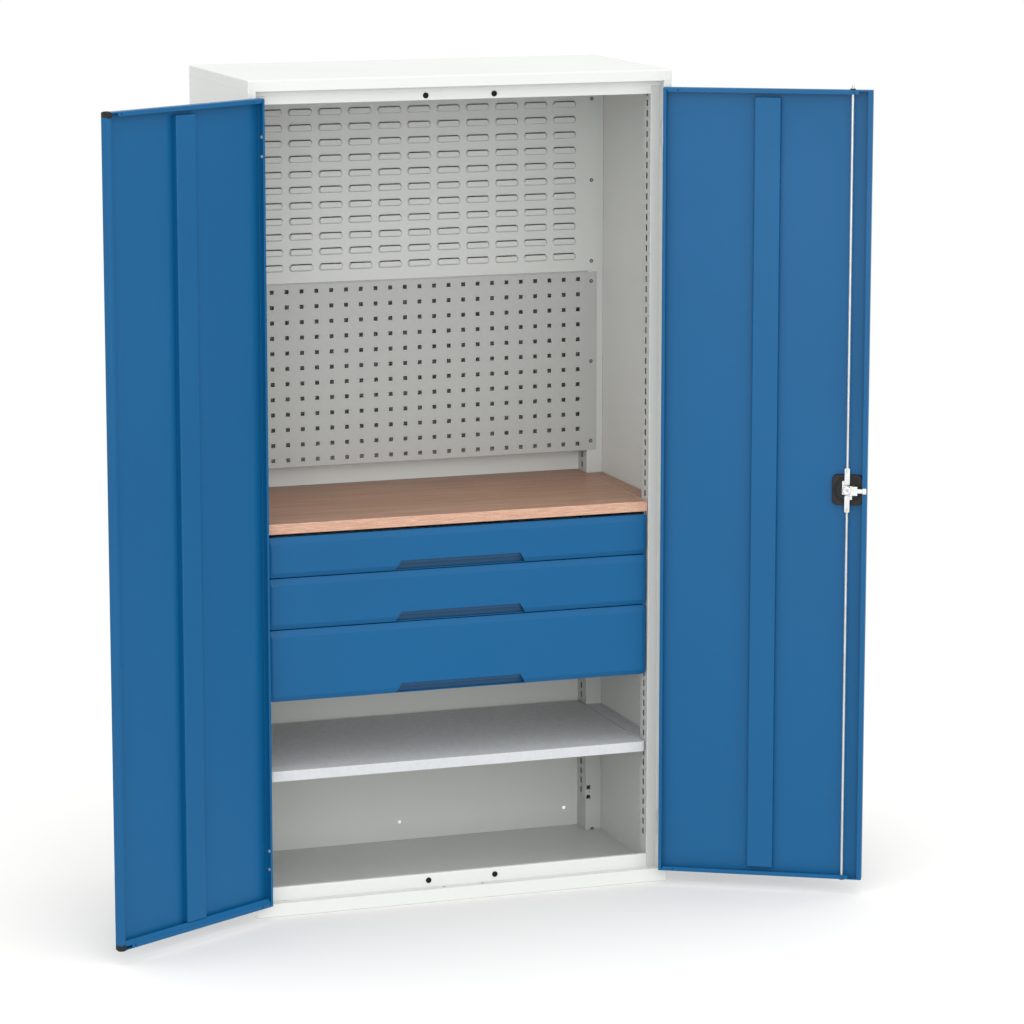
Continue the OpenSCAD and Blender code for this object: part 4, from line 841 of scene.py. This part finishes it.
class CABINET_OT_doors(bpy.types.Operator):
    """Two doors: folded pans with lips, a stiffener each, hinges, rivets and glides"""
    bl_idname = "cabinet.doors"
    bl_label = "Doors and hinges"

    def execute(self, context):
        pans = {"left": self.pan(context, []), "right": self.pan(context, [circle((LOCK_X, LOCK_Z), 34, 48)])}
        left, right = sum(DOOR_X) / 2 - 31.5, sum(DOOR_X) / 2 + 31.5
        root, crest = FRONT_Y + SHEET, FRONT_Y + 17
        channel = Shape().folded([(left, root), (left, crest), (right, crest), (right, root)], 3.0,
                                 (DOOR_Z[0] + 21, DOOR_Z[1] - 21), plan)
        rivets = [(DOOR_X[1] - SHEET, FRONT_Y + 11, z + s) for z in (147.5, 1848.5) for s in (-22.5, 22.5)]
        tail = SHEET + 1.2
        head = [(0.01, -1.5), (1.2, -1.45), (2.4, -1.2), (3.4, -0.7), (3.95, -0.15), (4.0, 0.0), (2.0, 0.0),
                (2.0, SHEET), (2.0, tail), (0.01, tail)]
        for side, place in DOORS:
            door = side + "_door"
            dress(door + "_sheet", door, "front_paint", [(pans[side], None)], place, [door + "_panel"], SHEET)
            dress(side + "_stiffener_sheet", door, "front_paint", [(channel, (0, 1, 0))], place,
                  [door + "_stiffener"], THIN_SHEET)
            dress(side + "_rivet_heads", door, "zinc", [(Shape().turned(head, rivets, "x"), None)], place,
                  [side + "_hinge_rivets"], edge=0)
            keep([side + "_hinge_door_leaves", side + "_hinge_body_leaves", side + "_hinge_pins"], 0.00025)
        self.left_door_trim(DOORS[0][1])
        return {"FINISHED"}

    def pan(self, context, openings):
        """Outlines stacked from the face's bend over the walls to the lips' bend: at a bend's angle a the
        inset is r * (1 - sin a) and the depth r * (1 - cos a). The face and the lips are flat, and the window
        between the lips is the same above and below."""
        fold = context.scene.cabinet_sizes.fold * 1000
        bend = np.linspace(0, math.pi / 2, 5)
        shrink, sink = 1 - np.sin(bend), 1 - np.cos(bend)
        rings = [ring((DOOR_X[0] + i, DOOR_X[1] - i), (DOOR_Z[0] + i, DOOR_Z[1] - i), max(1.8 - i, 0.15), 2)
                 for i in (*(fold * shrink), *(BEND * sink))]
        pan = Shape().stacked(rings, FRONT_Y + np.r_[fold * sink, DOOR_T - BEND * shrink], elevation)
        pan.lid([rings[0]] + openings, FRONT_Y, elevation)

        left, right, low = DOOR_X[0] + 11, DOOR_X[1] - 8, DOOR_Z[0] + 10.5
        notch, step, side_lip = left + 22.0, right - 3, low - 5
        lower = [(left, low), (left, low - 7.5), (notch, low - 7.5), (notch, low), (step, low),
                 (step, side_lip), (right, side_lip)]
        window = np.array(lower + [(x, sum(DOOR_Z) - z) for x, z in lower[:0:-1]])
        vents = [circle((x, z), 2, 12) for x in (DOOR_X[0] + 44, DOOR_X[1] - 36)
                 for z in (DOOR_Z[0] + 6.2, DOOR_Z[1] - 6.2)]
        return pan.lid([rings[-1], window] + vents, FRONT_Y + DOOR_T, elevation)

    def left_door_trim(self, place):
        """The sloped sill above the lower lip and the glides round the closing corners."""
        sill = Shape().folded([(FRONT_Y + DOOR_T - 0.5, DOOR_Z[0] + 9.5), (FRONT_Y + 13.5, DOOR_Z[0] + 20.3)],
                              1.0, (DOOR_X[0] + 9.5, DOOR_X[1] - 6.5), section)
        dress("left_door_sill", "left_door", "front_paint", [(sill, (0, 1, 1))], place, wall=THIN_SHEET)
        block = Shape()
        depth = FRONT_Y + np.array([2.0, 2.3, 3.0, 22.2, 22.9, 23.2])
        for z in (DOOR_Z[0] + 6.5, DOOR_Z[1] - 6.5):
            rings = [ring((DOOR_X[0] - 0.6 + i, DOOR_X[0] + 13 - i), (z - 7 + i, z + 7 - i), 3 - i, 4)
                     for i in (1.0, 0.3, 0.0, 0.0, 0.3, 1.0)]
            block.stacked(rings, depth, elevation)
            block.lid([rings[0]], depth[0], elevation).lid([rings[-1]], depth[-1], elevation)
        dress("corner_glides", "left_door", "black_plastic", [(block, None)], place, edge=0)
        keep(["left_door_glides"], 0.0005)


# ---- The lock ----

def lay(u, v, depth):
    """A lock part's outline about the lock's axis, depth behind the door's face."""
    return elevation(LOCK_X + u, LOCK_Z + v, FRONT_Y + depth)


def squared(rows):
    """Rounded squares and their depths, from (side, corner radius, depth)."""
    return [(ring((-side / 2, side / 2), (-side / 2, side / 2), radius, 9), depth)
            for side, radius, depth in rows]


def rounded(rows):
    """Circles and their depths, from (radius, depth), with each quarter's ends doubled as a ring has them."""
    quarters = np.r_[0:91:10, 90:181:10, 180:271:10, 270:361:10] % 360
    return [(circle((0, 0), radius, 360)[quarters], depth) for radius, depth in rows]


def barred(rows):
    """Outlines of the handle's grip bar and their depths, from (inset, depth)."""
    return [(ring((i - 29, 29 - i), (i - 8, 8 - i), 7.9 - i, 9), depth) for i, depth in rows]


def lock_piece(name, body, slot, shape, facing=None, stands_for=(), edge=0.0002):
    """A piece drawn about the lock's axis and swung with the right door."""
    dress(name, body, slot, [(shape, facing)], SWING, stands_for, edge=edge)


class CABINET_OT_lock(bpy.types.Operator):
    """Lock in the right door: case, cup, turning handle, barrel, cam, rods, bolt and guides"""
    bl_idname = "cabinet.lock"
    bl_label = "Lock"

    def execute(self, context):
        self.case()
        self.cup()
        self.handle()
        keep(["lock_spindle", "lock_cam", "lock_barrel", "upper_lock_rod", "lower_lock_rod", "centre_bolt",
              "bolt_guide"], 0.00025)
        self.hub()
        self.plates()
        keep(["rod_guides"], 0.0004)
        return {"FINISHED"}

    def case(self):
        rows = squared([(74, 12, 1.5), (74, 12, 12.0), (73.4, 11.7, 13.2), (72, 11, 13.8), (69, 10, 13.9)])
        rows += rounded([(33.6, 13.9), (33.0, 13.5), (32.6, 12.6), (31.2, 12.6), (30.8, 13.5), (28.4, 13.6),
                         (28.0, 11.0), (24.8, 11.0), (24.4, 13.6), (19.0, 13.6), (18.6, 13.1), (0.02, 13.1)])
        case = Shape().stacked(*zip(*rows), lay).lid([rows[0][0]], rows[0][1], lay)
        lock_piece("lock_case_shell", "right_door", "black_plastic", case, None, ["lock_case"])

    def cup(self):
        rows = rounded([(35, 0.0)])
        rows += squared([(80, 8, 0.0), (80, 8, -1.6), (79.4, 7.7, -2.5), (77.6, 7, -3.0), (74, 6, -3.0)])
        rows += rounded([(34.8, -3.0), (34.2, -2.8), (33.2, -1.8), (33.0, 6.6), (32.6, 8.0), (0.02, 8.0)])
        cup = Shape().stacked(*zip(*rows), lay)
        lock_piece("handle_cup_shell", "right_door", "black_plastic", cup, (0, -1, 0), ["handle_cup"])

    def handle(self):
        rows = rounded([(0.02, 7.5), (32, 7.5), (32, 5.4), (31.4, 4.7), (30, 4.5)])
        rows += barred([(-1.6, 4.5), (-0.6, 4.1), (0.0, 3.0), (0.0, -5.4), (0.5, -6.6), (1.5, -7.0)])
        bore = circle((0, 0), 7.05, 24)
        knob = Shape().stacked(*zip(*rows), lay).lid([rows[-1][0], bore], rows[-1][1], lay)
        knob.stacked([bore] * 2, [rows[-1][1], 0.2], lay)
        lock_piece("turning_handle", "handle", "black_plastic", knob, None, ["rotary_handle"])

    def hub(self):
        profile = [(0.01, 24.9), (1.9, 24.9), (2.0, 26.6), (2.4, 26.9), (9.6, 26.9), (10.6, 26.4),
                   (11.0, 25.4), (11.0, 24.7), (0.01, 24.7)]
        hub = Shape().turned(profile, (LOCK_X, FRONT_Y, LOCK_Z), steps=40)
        lock_piece("lock_hub", "handle", "zinc", hub, edge=0)

    def plates(self):
        """Flat plates over the yokes of the rods and over the bolt."""
        rod, bolt = ring((-6.2, 6.2), (13.4, 54.0), 3.0, 4), ring((-25.5, -8.0), (-11.0, 11.0), 1.5, 3)
        for name, body, outline, depths, edge in (
                ("upper_rod_plate", "upper_rod", rod, (16.6, 18.1), 0.0004),
                ("lower_rod_plate", "lower_rod", rod * [1, -1], (16.6, 18.1), 0.0004),
                ("bolt_plate", "bolt", bolt, (24.7, 25.7), 0.0003)):
            lock_piece(name, body, "zinc", Shape().slab(outline, depths, lay), edge=edge)


# ---- The stage ----

class CABINET_OT_stage(bpy.types.Operator):
    """Pale floor, even light and the camera"""
    bl_idname = "cabinet.stage"
    bl_label = "Stage"

    def execute(self, context):
        scene = context.scene
        self.floor(scene, scene.cabinet_stage.bounce)
        self.sky(scene, scene.cabinet_stage.sky)
        self.lamps(scene, scene.cabinet_stage)
        self.camera(scene, scene.cabinet_stage.lens * 1000)
        scene.view_settings.view_transform = "Standard"
        return {"FINISHED"}

    def floor(self, scene, bounce):
        """A disc that the camera sees fade to white with distance, and that lights all else evenly."""
        fade_start, fade_end, reach = 1.3, 3.2, 25000.0
        floor = bpy.data.materials.new("stage_floor")
        floor.use_nodes = True
        tree = floor.node_tree
        shader = tree.nodes["Principled BSDF"]
        for name, value in (("Base Color", linear(scene.cabinet_colours.floor)), ("Roughness", 0.9),
                            ("Specular IOR Level", 0.1)):
            shader.inputs[name].default_value = value
        where = node(tree, "TexCoord")["Object"]
        distance = node(tree, "VectorMath", {0: where}, operation="LENGTH")["Value"]
        seen = node(tree, "LightPath")["Is Camera Ray"]
        unseen = maths(tree, "SUBTRACT", 1.0, seen)
        far = maths(tree, "MAXIMUM", ranged(tree, distance, 0.0, 1.0, fade_start, fade_end), unseen)
        glow = node(tree, "Emission", {"Color": WHITE, "Strength": ranged(tree, unseen, 1.0, bounce)})
        joined = node(tree, "MixShader", {0: far, 1: shader.outputs[0], 2: glow[0]})
        tree.links.new(joined[0], tree.nodes["Material Output"].inputs["Surface"])
        disc = [circle((0, 0), radius, 48) for radius in (0.0, reach / 2, reach)]
        mesh = settle(Shape().stacked(disc, [0.0] * 3, plan), (0, 0, 1))
        mesh.name = "floor"
        ground = bpy.data.objects.new("floor", mesh)
        scene.collection.objects.link(ground)
        ground.data.materials.append(floor)

    def sky(self, scene, strength):
        """Light of strength * (1 + direction . lean), and plain white for the camera and in reflections."""
        lean = (-0.05, -0.50, 0.10)
        world = bpy.data.worlds.new("sky")
        scene.world = world
        world.use_nodes = True
        tree = world.node_tree
        sky = tree.nodes["Background"]
        sky.inputs["Color"].default_value = WHITE
        way = node(tree, "TexCoord")["Generated"]
        tilt = node(tree, "VectorMath", {0: way, 1: lean}, operation="DOT_PRODUCT")["Value"]
        tree.links.new(ranged(tree, tilt, 0.0, 2 * strength, -1.0, 1.0), sky.inputs["Strength"])
        backdrop = node(tree, "Background", {"Color": WHITE, "Strength": 1.0})
        path = node(tree, "LightPath")
        seen = maths(tree, "MAXIMUM", path["Is Camera Ray"], path["Is Glossy Ray"])
        joined = node(tree, "MixShader", {0: seen, 1: sky.outputs[0], 2: backdrop[0]})
        tree.links.new(joined[0], tree.nodes["World Output"].inputs["Surface"])

    def aim(self, scene, data, spot, way):
        """A lamp or camera at a spot, looking a way."""
        holder = bpy.data.objects.new(data.name, data)
        holder.location = spot
        holder.rotation_euler = way.to_track_quat("-Z", "Y").to_euler()
        scene.collection.objects.link(holder)
        return holder

    def lamps(self, scene, settings):
        sun = bpy.data.lights.new("overhead", "SUN")
        sun.energy, sun.angle = settings.sun, 0.8
        front = bpy.data.lights.new("front", "AREA")
        front.energy, front.size = settings.front, 4.0
        for lamp, spot, target in ((sun, (-0.5, -0.3, 8.0), (0, 0, 0)),
                                   (front, (-1.8, -6.5, 2.0), (0, 0, 1.1))):
            self.aim(scene, lamp, spot, Vector(target) - Vector(spot))

    def camera(self, scene, lens):
        """The photo's view: where the camera stood, and how far it was turned to the right and down."""
        spot, yaw, pitch = (-3.1105, -9.4938, 2.7483), 0.336676, 0.181766
        camera = bpy.data.cameras.new("camera")
        camera.lens, camera.sensor_width = lens, 36
        way = Vector((math.sin(yaw) * math.cos(pitch), math.cos(yaw) * math.cos(pitch), -math.sin(pitch)))
        scene.camera = self.aim(scene, camera, spot, way)


# ---- The sidebar and the run ----

STEPS = (CABINET_OT_body, CABINET_OT_posts, CABINET_OT_back_panels, CABINET_OT_buffers, CABINET_OT_fittings,
         CABINET_OT_drawer_fronts, CABINET_OT_doors, CABINET_OT_lock, CABINET_OT_stage)
SETTINGS = {"cabinet_colours": CabinetColours, "cabinet_sizes": CabinetSizes, "cabinet_stage": CabinetStage}


class CABINET_PT_sidebar(bpy.types.Panel):
    """The cabinet's settings and steps"""
    bl_idname = "CABINET_PT_sidebar"
    bl_label = "Tool Cabinet"
    bl_space_type = "VIEW_3D"
    bl_region_type = "UI"
    bl_category = "Cabinet"

    def draw(self, context):
        for name in SETTINGS:
            group, box = getattr(context.scene, name), self.layout.box()
            for setting in group.__annotations__:
                box.prop(group, setting)
        for step in STEPS:
            self.layout.operator(step.bl_idname)


CLASSES = (*SETTINGS.values(), *STEPS, CABINET_PT_sidebar)


def register():
    for item in CLASSES:
        bpy.utils.register_class(item)
    for name, group in SETTINGS.items():
        setattr(bpy.types.Scene, name, PointerProperty(type=group))


def unregister():
    for name in SETTINGS:
        delattr(bpy.types.Scene, name)
    for item in reversed(CLASSES):
        bpy.utils.unregister_class(item)


def main():
    register()
    for step in STEPS:
        getattr(bpy.ops.cabinet, step.bl_idname.partition(".")[2])()


if __name__ == "__main__":
    main()
